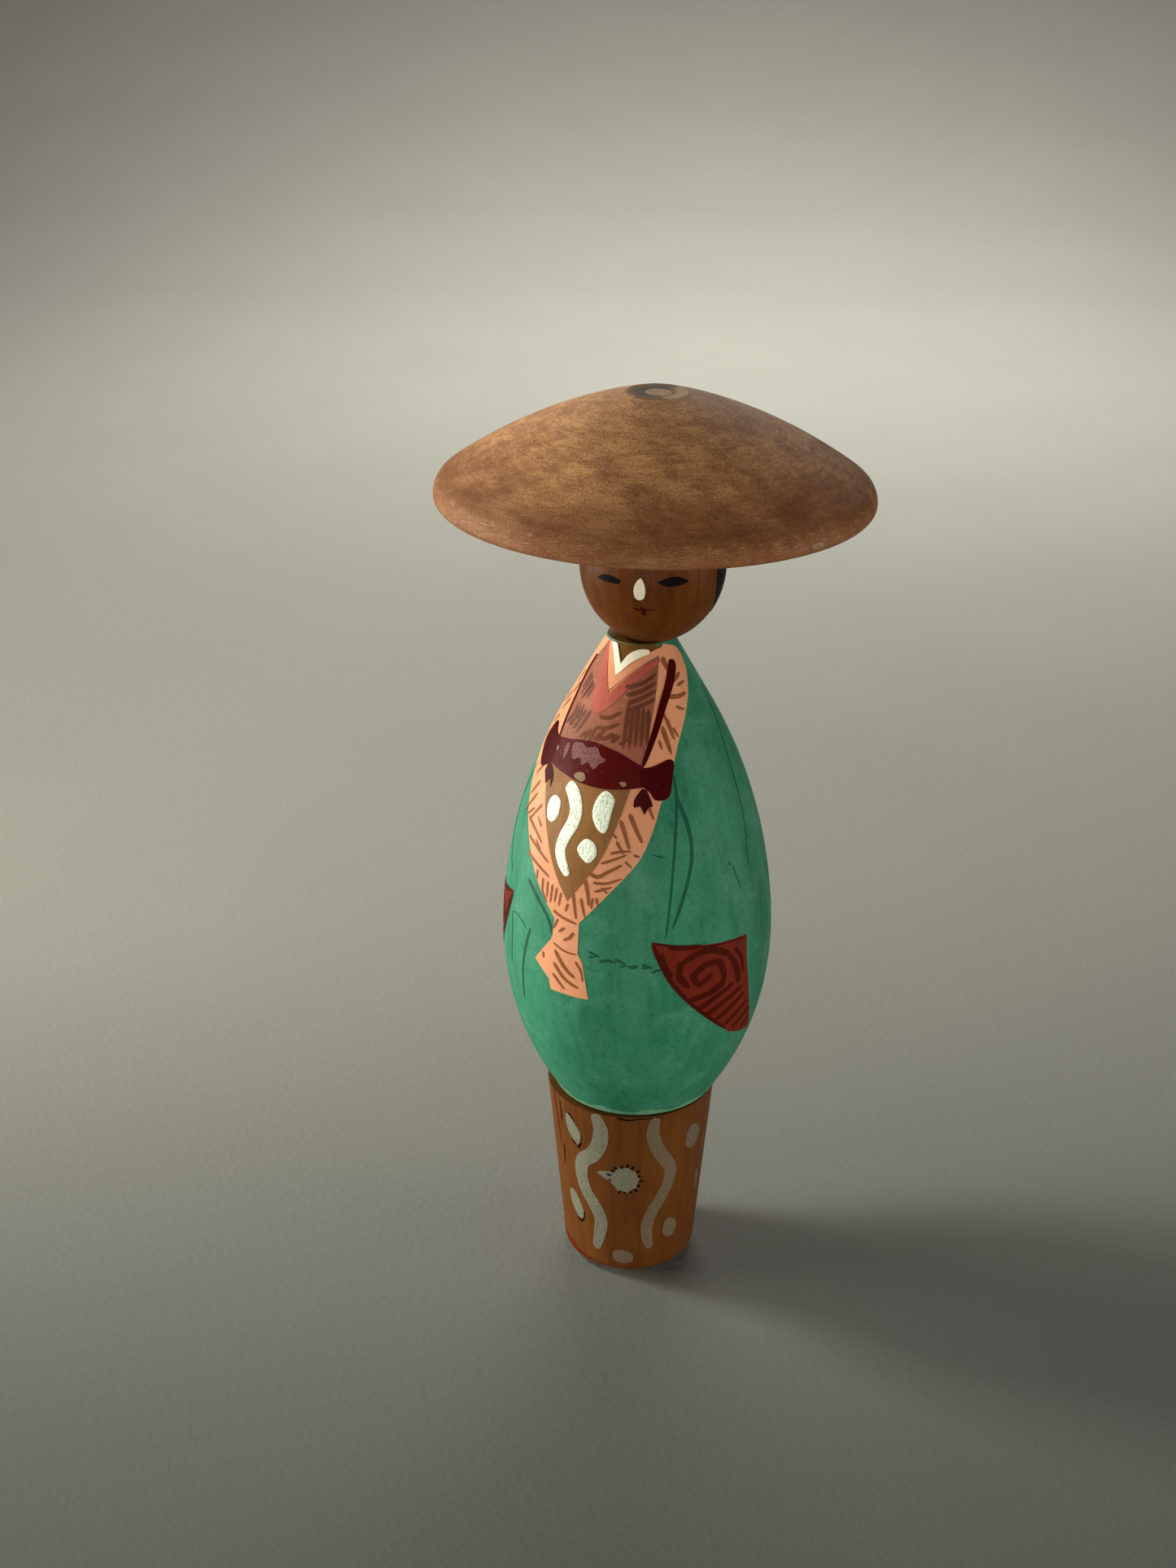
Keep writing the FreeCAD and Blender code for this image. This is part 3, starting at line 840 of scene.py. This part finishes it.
    def collars(self) -> None:
        """Rose lining, peach collar and white collar round the bare neck."""
        rose = outline(
            [(-36, BODY_TOP), (-30, 54), (-26, 52), (-21, 50.4), (-13, 49.5)],
            [(-13, 49.5), (-5, 50.2), (4, 51.3), (13, 52.5), (30, 53.9), (52, 55)],
            [(52, 55), (50, 55.3), (20, 54.3), (-6.5, 51.8)],
            [(-6.5, 51.8), (-20, 54.4), (-30, BODY_TOP)]
        )
        peach = outline(
            [(-33, BODY_TOP), (-20, 54.7), (-7, 52.1)],
            [(-7, 52.1), (6, 53.4), (21, 54.6), (40, 55.3), (57, 55.7)],
            [(57, 55.7), (60, 56.3), (38, 55.95), (22, 55.3), (8, 54.5), (-3, 53.5)],
            [(-3, 53.5), (-13, 55.2), (-22, BODY_TOP)]
        )
        white = outline(
            [(-27, BODY_TOP), (-15, 55.5), (-3.5, 53.6)],
            [(-3.5, 53.6), (10, 54.8), (24, 55.5), (38, 55.85)],
            [(38, 55.85), (38, 56.2), (26, 56.3), (14, 56.05), (6, 55.6), (-1, 54.75)],
            [(-1, 54.75), (-9, 55.9), (-16, BODY_TOP)]
        )
        neck = outline([(-22, NECK_TOP), (-13, 55.4), (-3, 54)],
                       [(-3, 54), (10, 55.2), (26, 55.9), (54, 56)],
                       [(54, 56), (66, NECK_TOP)])
        self.film("rose_lining", [rose], Layer.TRIM, ROSE)
        self.film("peach_collar", [peach], Layer.LINE, PEACH)
        self.film("white_collar", [white], Layer.TOP, CHALK)
        self.film("bare_neck", [neck], Layer.SKIN, OLIVE)
        self.neck_top()

    def neck_top(self) -> None:
        """Bare wood on the flat top of the body, as a thin disc."""
        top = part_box(self.cloth.node)[1].z
        centre = Vector((*self.cloth.origin[:2], top - 0.03 * MM))
        radius = (self.cloth.radius(BODY_TOP) - self.top_inset) * MM
        disc = model_disc("neck_top", 96, radius, centre, Vector((0, 0, 1)), 0.05 * MM)
        disc.data.materials.append(OLIVE.material())
        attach(disc, self.cloth.body)
        log.info("neck_top: %d faces", len(disc.data.polygons))

    def sash(self) -> None:
        """Maroon band with a bow and tassel at each end, and the cords of the lapels."""
        band = outline([(-42, 45.9), (-27, 46.4), (-16, 46.8), (-6, 46.9), (5, 46.6), (15, 46.1), (28, 45)],
                       [(28, 45), (28, 43)], [(28, 43), (10, 42.6), (-6, 42.6), (-26, 43), (-42, 43.3)])
        right_bow = outline([(26, 44.9), (33, 45), (44, 45.6), (47, 45.1), (45, 43.9), (43, 42.4),
                             (40, 41.7), (34, 41.7), (31, 42.5), (26, 43.2)], [(26, 43.2), (26, 44.9)])
        left_bow = outline([(-38, 45.9), (-46, 46.1), (-53, 46.9), (-57, 46.2), (-60, 44.6), (-55, 43.3),
                            (-49, 42.2), (-45, 42.3), (-38, 43.3)], [(-38, 43.3), (-38, 45.9)])
        self.film("maroon_band", [band], Layer.LINE, MAROON)
        # Lighter patches on the band: partly worn paint, partly painted sheen where the band shines.
        wear_and_sheen = [blob([(-23, 46.1), (-16, 46.5), (-11, 46.2), (-4, 46.5), (0, 45.7), (4, 45.4), (0, 44.9),
                        (-3, 44.3), (-8, 44.8), (-12, 44.4), (-14, 45), (-20, 44.7)]),
                  blob([(-29, 45.8), (-26, 45.9), (-25.5, 45.1), (-27, 44.3), (-29, 44.9)])]
        self.film("band_wear_and_painted_sheen", wear_and_sheen, Layer.TOP, BAND_WEAR_AND_SHEEN)
        chips = [blob([(-13, 43.6), (-9, 43.7), (-7, 43.2), (-9, 42.8), (-13, 42.9), (-15, 43.2)]),
                 blob([(-37, 45.1), (-35.8, 45.1), (-35.8, 44.7), (-37, 44.7)]),
                 blob([(14, 43.4), (17, 43.5), (18, 43.2), (16, 43)])]
        self.film("band_chips", chips, Layer.TOP, CHIP)
        self.film("sash_bows", [right_bow, left_bow], Layer.TOP, WINE)
        right_tassel = outline([(27, 42.9), (23, 41.9), (22.5, 41), (25, 41.1)],
                               [(25, 41.1), (26.5, 41), (28, 40.2)], [(28, 40.2), (30.5, 41)],
                               [(30.5, 41), (32.5, 41.2), (29.5, 42.7)])
        left_tassel = outline([(-40, 43.2), (-35, 42.9), (-31, 42.1), (-30.5, 41)],
                              [(-30.5, 41), (-33, 41.7), (-36, 41)], [(-36, 41), (-41, 42.1)])
        self.film("sash_tassels", [right_tassel, left_tassel], Layer.LINE, WINE)
        cords = [
            self.cloth.stroke([(72, 54.9), (60, 53.2), (46, 50.9), (35, 47.9), (27, 45.0)], 1.15, 0.45),
            self.cloth.stroke([(-50, 54.7), (-51, 52.7), (-46, 49.7), (-40.5, 45.9)], 0.35, 0.9)
        ]
        self.film("lapel_cords", cords, Layer.LINE, WINE)

    def apron(self) -> None:
        """Brown apron with gritty white marks."""
        cloth = outline([(-40, 43.8), (-37, 41.7), (-29, 38.4), (-16, 33.1), (-6.5, 29.9)],
                        [(-6.5, 29.9), (3, 33.3), (10, 36.4), (21, 43.2)],
                        [(21, 43.2), (0, 43.1), (-21, 43.3), (-40, 43.8)])
        self.film("brown_apron", [cloth], Layer.COAT, TAN)
        wave = self.cloth.stroke([(-18, 42.1), (-13, 41.5), (-9, 40.1), (-9, 38.6), (-12.5, 36.7),
                                  (-13.5, 35.2), (-11.5, 34), (-7.5, 32.7)], 1.75, 0.72)
        dots = [
            blob([(-24, 40.5), (-27.3, 40), (-28, 38.9), (-25.5, 37.8), (-21.5, 37.8), (-19, 38.8),
                  (-19.7, 40.1)]),
            blob([(6.5, 42.4), (12, 41.7), (11, 40.3), (9, 38.2), (4.5, 38.4), (1, 39.8), (2, 41.4)]),
            blob([(-1, 37.1), (4, 36.8), (5.5, 35.6), (1.5, 34.6), (-4.3, 35.8)])
        ]
        RaisedFilm("apron_marks", self.cloth, [wave, *dots], Layer.TRIM, GRIT, "painted_robe").build()

    def mirrored(self, spot: Spot) -> Spot:
        """Give the place on the left sleeve end that answers a place on the right one."""
        return self.left_turn - spot[0], spot[1] + self.left_rise

    def sleeves(self) -> None:
        """Brick red sleeve ends with a spiral fret and slanted bars."""
        right = outline(
            [(31, 26.3), (41, 25.6), (47, 25.4), (58, 24.9), (68, 24.6), (78, 24.3)],
            [(78, 24.3), (78, 20.9), (82, 15.9), (87, 12.7), (92, 10.2)],
            [(92, 10.2), (81, 10.9), (71, 12.1)],
            [(71, 12.1), (57, 15.4), (48, 17.9), (39, 21), (34, 24), (31, 26.3)]
        )
        left = [self.mirrored(spot) for spot in right]
        self.film("sleeve_ends", [right, left], Layer.UNDER, BRICK)
        fret = [
            (0.95, (72.8, 18.7), (70.8, 21), (66.5, 22.9)),
            (0.95, (67, 22.9), (58, 24.2), (50, 24.1), (43, 23.2)),
            (0.95, (43.4, 23.6), (42.4, 21.5)), (0.95, (42, 21.9), (47.2, 20.1)),
            (0.9, (51, 20.2), (48, 21.9)), (0.95, (47.8, 21.3), (54, 22.5), (61.5, 22.6)),
            (0.95, (60.6, 22.9), (64, 20.8), (63, 19.2)), (0.95, (64, 19.6), (56, 18.8), (46.5, 18.4)),
            (0.85, (58, 21.2), (51, 20)), (0.75, (38, 25.5), (45, 25.2), (53, 25)),
            (0.7, (35, 24.8), (36.8, 23.2), (40, 21.8)), (0.5, (70, 23.4), (74, 21.8), (75.5, 19.8)),
            (0.6, (31.5, 26), (35, 23.6), (40, 20.9), (48, 18.1), (57, 15.6), (68, 12.9)),
            (0.3, (31.5, 26.1), (47, 25.2), (58, 24.7), (77, 24.1)), (0.8, (51, 16.9), (60, 18), (70, 19)),
            (0.75, (55, 15.8), (65, 17), (76, 18)), (0.7, (61, 14.7), (70, 15.9), (78, 16.8)),
            (0.6, (67, 13.5), (75, 14.6), (81, 15.4)), (0.5, (73, 12.5), (80, 13.4), (84.5, 14)),
            (0.4, (80, 11.5), (84, 11.9), (87.5, 12.5))
        ]
        left_fret = [(width, *map(self.mirrored, path)) for width, *path in fret]
        self.strokes("sleeve_fret", [*fret, *left_fret], Layer.COAT, FRET)


@dataclass
class Face:
    """Painted face and hair on the head.

    Attributes:
        skin: The turned head that the face is painted on.
    """

    skin: Turning

    def film(self, name: str, outlines: list[Run], layer: Layer, finish: Paint) -> None:
        """Lay one coat of the face."""
        Film(name, self.skin, outlines, layer, finish, "painted_face", (4.0, 0.8)).build()

    def features(self) -> None:
        """Eyes, nose and mouth."""
        left = outline([(-38.5, 8.15), (-34, 8.6), (-30, 8.78), (-23, 8.8), (-16.3, 8.55)],
                       [(-16.3, 8.55), (-16, 8.2)], [(-16, 8.2), (-20, 8.03), (-30, 7.98), (-38.5, 8.15)])
        right = outline([(12.5, 8.62), (19, 9.0), (25, 9.18), (32, 9.02), (38.5, 8.5)],
                        [(38.5, 8.5), (31, 8.2), (24, 8.12), (18, 8.22), (12.5, 8.62)])
        self.film("eyes", [left, right], Layer.SKIN, INK)
        nose = outline([(0, 9.05), (-3, 8.6), (-5, 7.9), (-4.6, 7.0), (-2.5, 6.6), (0.5, 6.55), (3, 6.85),
                        (3.8, 7.7), (2.4, 8.55), (0, 9.05)])
        self.film("nose", [nose], Layer.UNDER, NOSE)
        mouth = [self.skin.stroke([(-6, 5.45), (0, 5.3), (5, 5.3), (12, 5.4)], 0.24, 0.5),
                 blob([(-0.5, 5.75), (3, 5.55), (6, 5.4), (4, 5.1), (5, 4.8), (3, 4.6), (0.8, 4.8),
                       (0.5, 5.2)])]
        self.film("mouth", mouth, Layer.SKIN, LIP)

    def hair(self) -> None:
        """Black hair round the sides and back."""
        cap = outline([(76, 14.4), (75, 11), (71, 9.4), (69, 8), (71, 6.4), (76, 4.6), (86, 3.2)],
                      [(86, 3.2), (110, 2.8), (180, 2.6), (240, 2.9), (264, 3.4)],
                      [(264, 3.4), (271, 5), (275, 7), (276, 9), (277, 11), (277, 14.4)])
        self.film("hair", [cap], Layer.COAT, INK)


@dataclass
class Foot:
    """Painted marks on the foot.

    Attributes:
        wood: The turned foot that the marks are painted on.
        blossom: Middle of the blossom, in degrees and millimetres.
        petals: Points on the blossom's outline.
    """

    wood: Turning
    blossom: Spot = (21.5, 14.8)
    petals: int = 18

    def film(self, name: str, outlines: list[Run], finish: Paint | GrittyPaint,
             layer: Layer = Layer.UNDER) -> None:
        """Lay one set of marks."""
        Film(name, self.wood, outlines, layer, finish, "painted_foot").build()

    def marks(self) -> None:
        """Two pale waves, a blossom with dark dashes, and pale spots."""
        first = self.wood.stroke([(0, 24), (4, 22), (3, 19.8), (-3, 17.8), (-12, 16.3), (-14.5, 14.3),
                                  (-11, 12), (-3, 10), (1.5, 8), (0, 6), (-4, 3.4)], 2.1, 0.8)
        second = self.wood.stroke([(43, 23.9), (41, 21.5), (46, 18.9), (55, 16.4), (57, 14.5), (52, 12.2),
                                   (45, 10.2), (40, 8), (40, 6), (43, 4)], 1.8, 0.8)
        self.film("foot_waves", [first], FADED_GRIT)
        self.film("faint_foot_wave", [second], FAINT_GRIT)
        spots = [
            blob([(-26, 22.2), (-20, 21.8), (-13, 20.3), (-13.5, 18.7), (-19, 18.7), (-26, 20.2)]),
            blob([(-29, 10.8), (-22, 10.7), (-15, 8.7), (-16, 7.3), (-22, 7.3), (-29, 9)]),
            blob([(72, 20.8), (80, 20.6), (85, 19.4), (82, 17.8), (75, 17.5), (69, 18.6)]),
            blob([(56, 7.9), (63, 7.8), (68, 6.6), (65, 5.2), (58, 5.2), (54, 6.2)]),
            blob([(12, 3.6), (20, 3.9), (28, 3.3), (28, 2.2), (20, 1.9), (12, 2.3)]),
            blob([(88, 13), (93, 12), (90, 10)])
        ]
        self.film("foot_spots", spots[:2], FADED_GRIT)
        self.film("faint_foot_spots", spots[2:], FAINT_GRIT)
        centre_turn, centre_height = self.blossom
        flower = []
        for k in range(self.petals):
            angle, scallop = 2 * math.pi * k / self.petals, 1 + 0.08 * (-1) ** k
            flower.append((centre_turn + 10.5 * math.cos(angle) * scallop,
                           centre_height + 1.85 * math.sin(angle) * scallop))
        tail = blob([(12, 15.8), (12, 14.4), (4, 14.9), (1, 15.5)])
        self.film("foot_blossom", [flower, tail], FADED_GRIT)
        dashes = []
        for k in range(15):
            angle = 2 * math.pi * (k - 5.2) / 17
            inner, outer = (10.2, 1.8), (13.6 + 1.2 * math.sin(3 * k), 2.3 + 0.2 * math.sin(5 * k))
            ends = [(centre_turn + across * math.cos(angle), centre_height + up * math.sin(angle))
                    for across, up in (inner, outer)]
            dashes.append(self.wood.stroke(ends, 0.34, 0.7))
        dashes += [self.wood.stroke(path, 0.26, 0.6) for path in (
            [(-12, 20), (-14, 18.5), (-17, 18)], [(-12.3, 19), (-15.5, 17.8)], [(-18, 18.2), (-22, 18.9)],
            [(-26.5, 22), (-22, 22.4), (-18, 21.6)], [(-14.3, 8.4), (-16, 7), (-20, 6.8)],
            [(-17, 6.6), (-23, 7)], [(-32, 20.5), (-33, 23.5)], [(-33, 17), (-34, 14)])]
        self.film("foot_dashes", dashes, INK)

    def edges(self) -> None:
        """Red paint left on the lower edge and the dark crack under the coat."""
        rim = outline([(-70, 3.6), (-52, 3), (-34, 2.3), (-20, 1.7), (-2, 1.05)],
                      [(-2, 1.05), (-20, 0.95), (-44, 1), (-70, 1.6)], [(-70, 1.6), (-70, 3.6)])
        strip = outline([(-44, 23.9), (-40, 20), (-38, 16.4)],
                        [(-38, 16.4), (-36.5, 18), (-38, 21), (-39.5, 23.9)],
                        [(-39.5, 23.9), (-44, 23.9)])
        self.film("foot_red_rim", [rim, strip], RED_RIM)
        crack = self.wood.stroke([(16, 23.95), (24, 23.75), (32, 23.9), (48, 23.85)], 0.3, 0.3)
        self.film("seam_crack", [crack], INK)


@dataclass
class HatCrown:
    """Small end-grain disc at the top of the hat, left where the hat was cut from the lathe.

    Attributes:
        top: Where the turning axis leaves the top of the hat.
        axis: Direction of the turning axis.
        radius: Radius of the disc.
    """

    top: Vector
    axis: Vector
    radius: float = 3.4 * MM

    def build(self) -> None:
        """Model the disc: a circle, drawn out into a low step with a worn hollow."""
        foot = self.top - self.axis * 0.75 * MM
        rings = ((0.3, 0.0), (0.6, -0.08), (0.8, 0.05), (0.6, -0.1))
        disc = model_disc("crown_disc", 48, self.radius, foot, self.axis, 0.78 * MM, rings)
        edge = disc.modifiers.new("edge", "BEVEL")
        edge.width = 0.12 * MM
        edge.segments = 3
        select_only(disc)
        bpy.ops.object.modifier_apply(modifier="edge")
        bpy.ops.object.shade_smooth_by_angle(angle=math.radians(50))
        disc.data.materials.append(self.end_grain())
        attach(disc, "head_and_hat")
        log.info("crown_disc: %d faces", len(disc.data.polygons))

    def end_grain(self) -> bpy.types.Material:
        """Brown end grain, darker over one side, with a pale worn edge on the other."""
        shader = Shader("crown_end_grain")
        radius, _, direction = shader.about(self.top)
        drift = shader.noise(1.4 * MM, detail=4)
        rings = shader.noise(0.5 * MM, stretch=(2, 1, 1), detail=3)
        side = shader.node("ShaderNodeVectorMath", {"operation": "DOT_PRODUCT"},
                           {0: direction, 1: (0.97, 0.24, 0)}, output="Value")
        across = radius * side + (drift - 0.5) * 2.4 * MM
        tone = shader.mix(rings.between(0.3, 0.7), paint_box(142, 100, 62), paint_box(106, 72, 42))
        worn = across.between(0.6 * MM, 2 * MM) * radius.between(1.6 * MM, 2.3 * MM)
        tone = shader.mix(worn * 0.8, tone, paint_box(182, 150, 108))
        # The disc is darker over one side, inside its edge.
        dark_side = across.between(1.5 * MM, 0.2 * MM) * radius.between(3.1 * MM, 2.4 * MM)
        shader.set(base_color=shader.mix(dark_side * 0.85, tone, paint_box(70, 54, 34)), roughness=0.7,
                   specular_ior_level=0.1)
        shader.bump(rings * 0.5 + drift * 0.5, 0.08 * MM)
        return shader.material


@dataclass
class Studio:
    """Pale floor, soft lights and the camera.

    Attributes:
        heading: Degrees that the camera stands round from the doll's front.
        distance: Level distance of the camera from the doll's axis.
        height: Height of the camera.
        tip: Degrees that it looks down.
        swing: Degrees that it looks aside.
        roll: Degrees that it leans.
        lens: Focal length in millimetres.
        paper: Width, length, and length before the doll of the paper, in metres.
        flat: Length of flat paper behind the doll's axis before it curves up.
        curve: Radius of that curve.
    """

    heading: float = 25.0
    distance: float = 0.23142
    height: float = 0.16888
    tip: float = 24.7
    swing: float = -1.43
    roll: float = 0.14
    lens: float = 51.37
    paper: tuple[float, float, float] = (4.0, 3.2, 0.9)
    flat: float = 0.5
    curve: float = 0.5

    def floor(self) -> None:
        """Pale paper that curves up behind the doll, painted darker towards the camera as painted shade."""
        bpy.ops.mesh.primitive_grid_add(x_subdivisions=2, y_subdivisions=40, size=1)
        paper = bpy.context.object
        paper.name = "paper_sweep"
        turn = Matrix.Rotation(math.radians(self.heading), 4, "Z")
        width, length, before = self.paper
        flat, curve = self.flat, self.curve
        for vertex in paper.data.vertices:
            run = (vertex.co.y + 0.5) * length - before
            bend = min(max(run - flat, 0.0), math.pi / 2 * curve)
            rise = curve * (1 - math.cos(bend / curve)) + max(run - flat - math.pi / 2 * curve, 0)
            away = min(run, flat) + curve * math.sin(bend / curve)
            vertex.co = turn @ Vector((vertex.co.x * width, away, rise))
        select_only(paper)
        bpy.ops.object.shade_smooth()
        shader = Shader("pale_paper")
        fibres = shader.noise(0.9 * MM, detail=3)
        clouds = shader.noise(40 * MM, detail=3)
        heading = math.radians(self.heading)
        away = shader.node("ShaderNodeVectorMath", {"operation": "DOT_PRODUCT"},
                           {0: shader.place, 1: (-math.sin(heading), math.cos(heading), 0)}, output="Value")
        # Painted shade: the paper is darker towards the camera and paler behind the doll.
        tone = shader.mix(away.between(-0.085, 0.11), paint_box(102, 102, 99), paint_box(160, 158, 148))
        tone = shader.mix((clouds * 0.5 + fibres * 0.5) * 0.25, tone, paint_box(104, 104, 98))
        shader.set(base_color=tone, roughness=0.9, specular_ior_level=0.0)
        shader.bump(fibres, 0.05 * MM)
        paper.data.materials.append(shader.material)
        log.info("%s: %d faces", paper.name, len(paper.data.polygons))

    def light(self, name: str, place: tuple, aim: tuple, size: Spot, power: float, colour: Colour) -> None:
        """Add a soft oblong lamp.

        Args:
            name: Name of the lamp.
            place: Its place as seen from the camera, in metres: right, away and up.
            aim: The place it points at, in the same way.
            size: Its width and height in metres.
            power: Its power in watts.
            colour: Colour of its light.
        """
        data = bpy.data.lights.new(name, "AREA")
        data.shape = "RECTANGLE"
        data.size, data.size_y = size
        data.energy = power
        data.color = colour
        lamp = bpy.data.objects.new(name, data)
        bpy.context.collection.objects.link(lamp)
        turn = Matrix.Rotation(math.radians(self.heading), 4, "Z")
        where = turn @ Vector(place)
        pointing = (turn @ Vector(aim) - where).to_track_quat("-Z", "Y").to_matrix().to_4x4()
        lamp.matrix_world = Matrix.Translation(where) @ pointing

    def lights(self) -> None:
        """Soft daylight from the left and behind, with a low fill from the front."""
        self.light("back_lamp", (0.04, 0.45, 0.27), (0.04, 0.42, 0.0), (0.3, 0.25), 1.75, (1.0, 1.0, 0.97))
        self.light("window", (-0.5, 0.05, 0.07), (0, 0, 0.07), (0.3, 0.08), 3.5, (1.0, 0.99, 0.93))
        self.light("hat_lamp", (-0.19, 0.05, 0.2), (-0.012, 0, 0.1), (0.05, 0.05), 0.4, (0.97, 1.0, 0.88))
        self.light("front_fill", (-0.1, -0.9, 0.09), (0, 0, 0.08), (0.5, 0.1), 4.8, (1.0, 0.97, 0.9))
        self.light("right_fill", (0.6, -0.15, 0.06), (0, 0, 0.06), (0.3, 0.1), 1.7, (1.0, 0.98, 0.94))
        world = bpy.data.worlds.new("room")
        world.use_nodes = True
        air = world.node_tree.nodes["Background"].inputs
        air["Color"].default_value = (1.0, 0.97, 0.93, 1)
        air["Strength"].default_value = 0.05
        bpy.context.scene.world = world
        bpy.context.scene.view_settings.view_transform = "Standard"

    def camera(self) -> None:
        """Camera before the doll, a little to its left hand and looking down."""
        data = bpy.data.cameras.new("camera")
        data.lens = self.lens
        data.sensor_width = 36
        data.clip_start = 0.01
        eye = bpy.data.objects.new("camera", data)
        bpy.context.collection.objects.link(eye)
        heading = math.radians(self.heading)
        place = Vector((self.distance * math.sin(heading), -self.distance * math.cos(heading), self.height))
        look = (Matrix.Rotation(math.radians(self.heading - self.swing), 4, "Z")
                @ Matrix.Rotation(math.radians(90 - self.tip), 4, "X")
                @ Matrix.Rotation(math.radians(self.roll), 4, "Z"))
        eye.matrix_world = Matrix.Translation(place) @ look
        bpy.context.scene.camera = eye


def middle(node: str) -> Vector:
    """Give the centre of a node's box, at its lowest level."""
    low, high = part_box(node)
    return Vector(((low.x + high.x) / 2, (low.y + high.y) / 2, low.z))


def dress(node: str, material: bpy.types.Material) -> None:
    """Give a CAD node its finish."""
    piece = frame["nodes"][node]
    piece.data.materials.clear()
    piece.data.materials.append(material)
    log.info("%s: %s", node, material.name)


def main() -> None:
    """Build the doll's looks in order."""
    logging.basicConfig(level=logging.INFO, format="%(message)s")
    joint = frame["joints"][0]
    neck_axis = Vector(joint["axis"])
    neck_gap = 0.1 * MM
    head_foot = Vector(joint["pos_m"]) + neck_axis * neck_gap
    robe = Robe(Turning("body", "standing", tuple(middle("body"))))
    for step in (robe.coat, robe.lapels, robe.hatching, robe.under_robe, robe.collars, robe.apron,
                 robe.sash, robe.sleeves):
        step()
    face = Face(Turning("head", "head_and_hat", tuple(head_foot), tuple(neck_axis), HEAD_FRONT))
    face.features()
    face.hair()
    foot = Foot(Turning("foot", "standing", tuple(middle("foot"))))
    foot.marks()
    foot.edges()
    hat_middle = middle("hat")
    hat_top = hat_middle + neck_axis * (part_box("hat")[1].z - hat_middle.z)
    HatCrown(hat_top, neck_axis).build()
    Film("rim_chip", Turning("hat", "head_and_hat", tuple(head_foot), tuple(neck_axis), HEAD_FRONT),
         [blob([(51, 16.5), (54, 16.5), (55, 16.1), (53, 15.9), (51, 16.1)])], Layer.UNDER, CHIP,
         "stained_wood").build()
    dress("hat", StainedWood(tuple(hat_middle)).material())
    dress("head", WashedWood("face_wood", tuple(head_foot), paint_box(94, 50, 13), paint_box(62, 28, 4),
                             0.5).material())
    dress("foot", WashedWood("foot_wood", tuple(middle("foot")), paint_box(100, 59, 22),
                             paint_box(76, 39, 12), 0.5).material())
    bare = WashedWood("bare_peg_wood", (0, 0, 0), paint_box(214, 178, 128), paint_box(184, 142, 92),
                      0.6).material()
    for peg in ("hat_peg", "neck_peg", "foot_peg"):
        dress(peg, bare)
    studio = Studio()
    studio.floor()
    studio.lights()
    studio.camera()


if __name__ == "__main__":
    main()
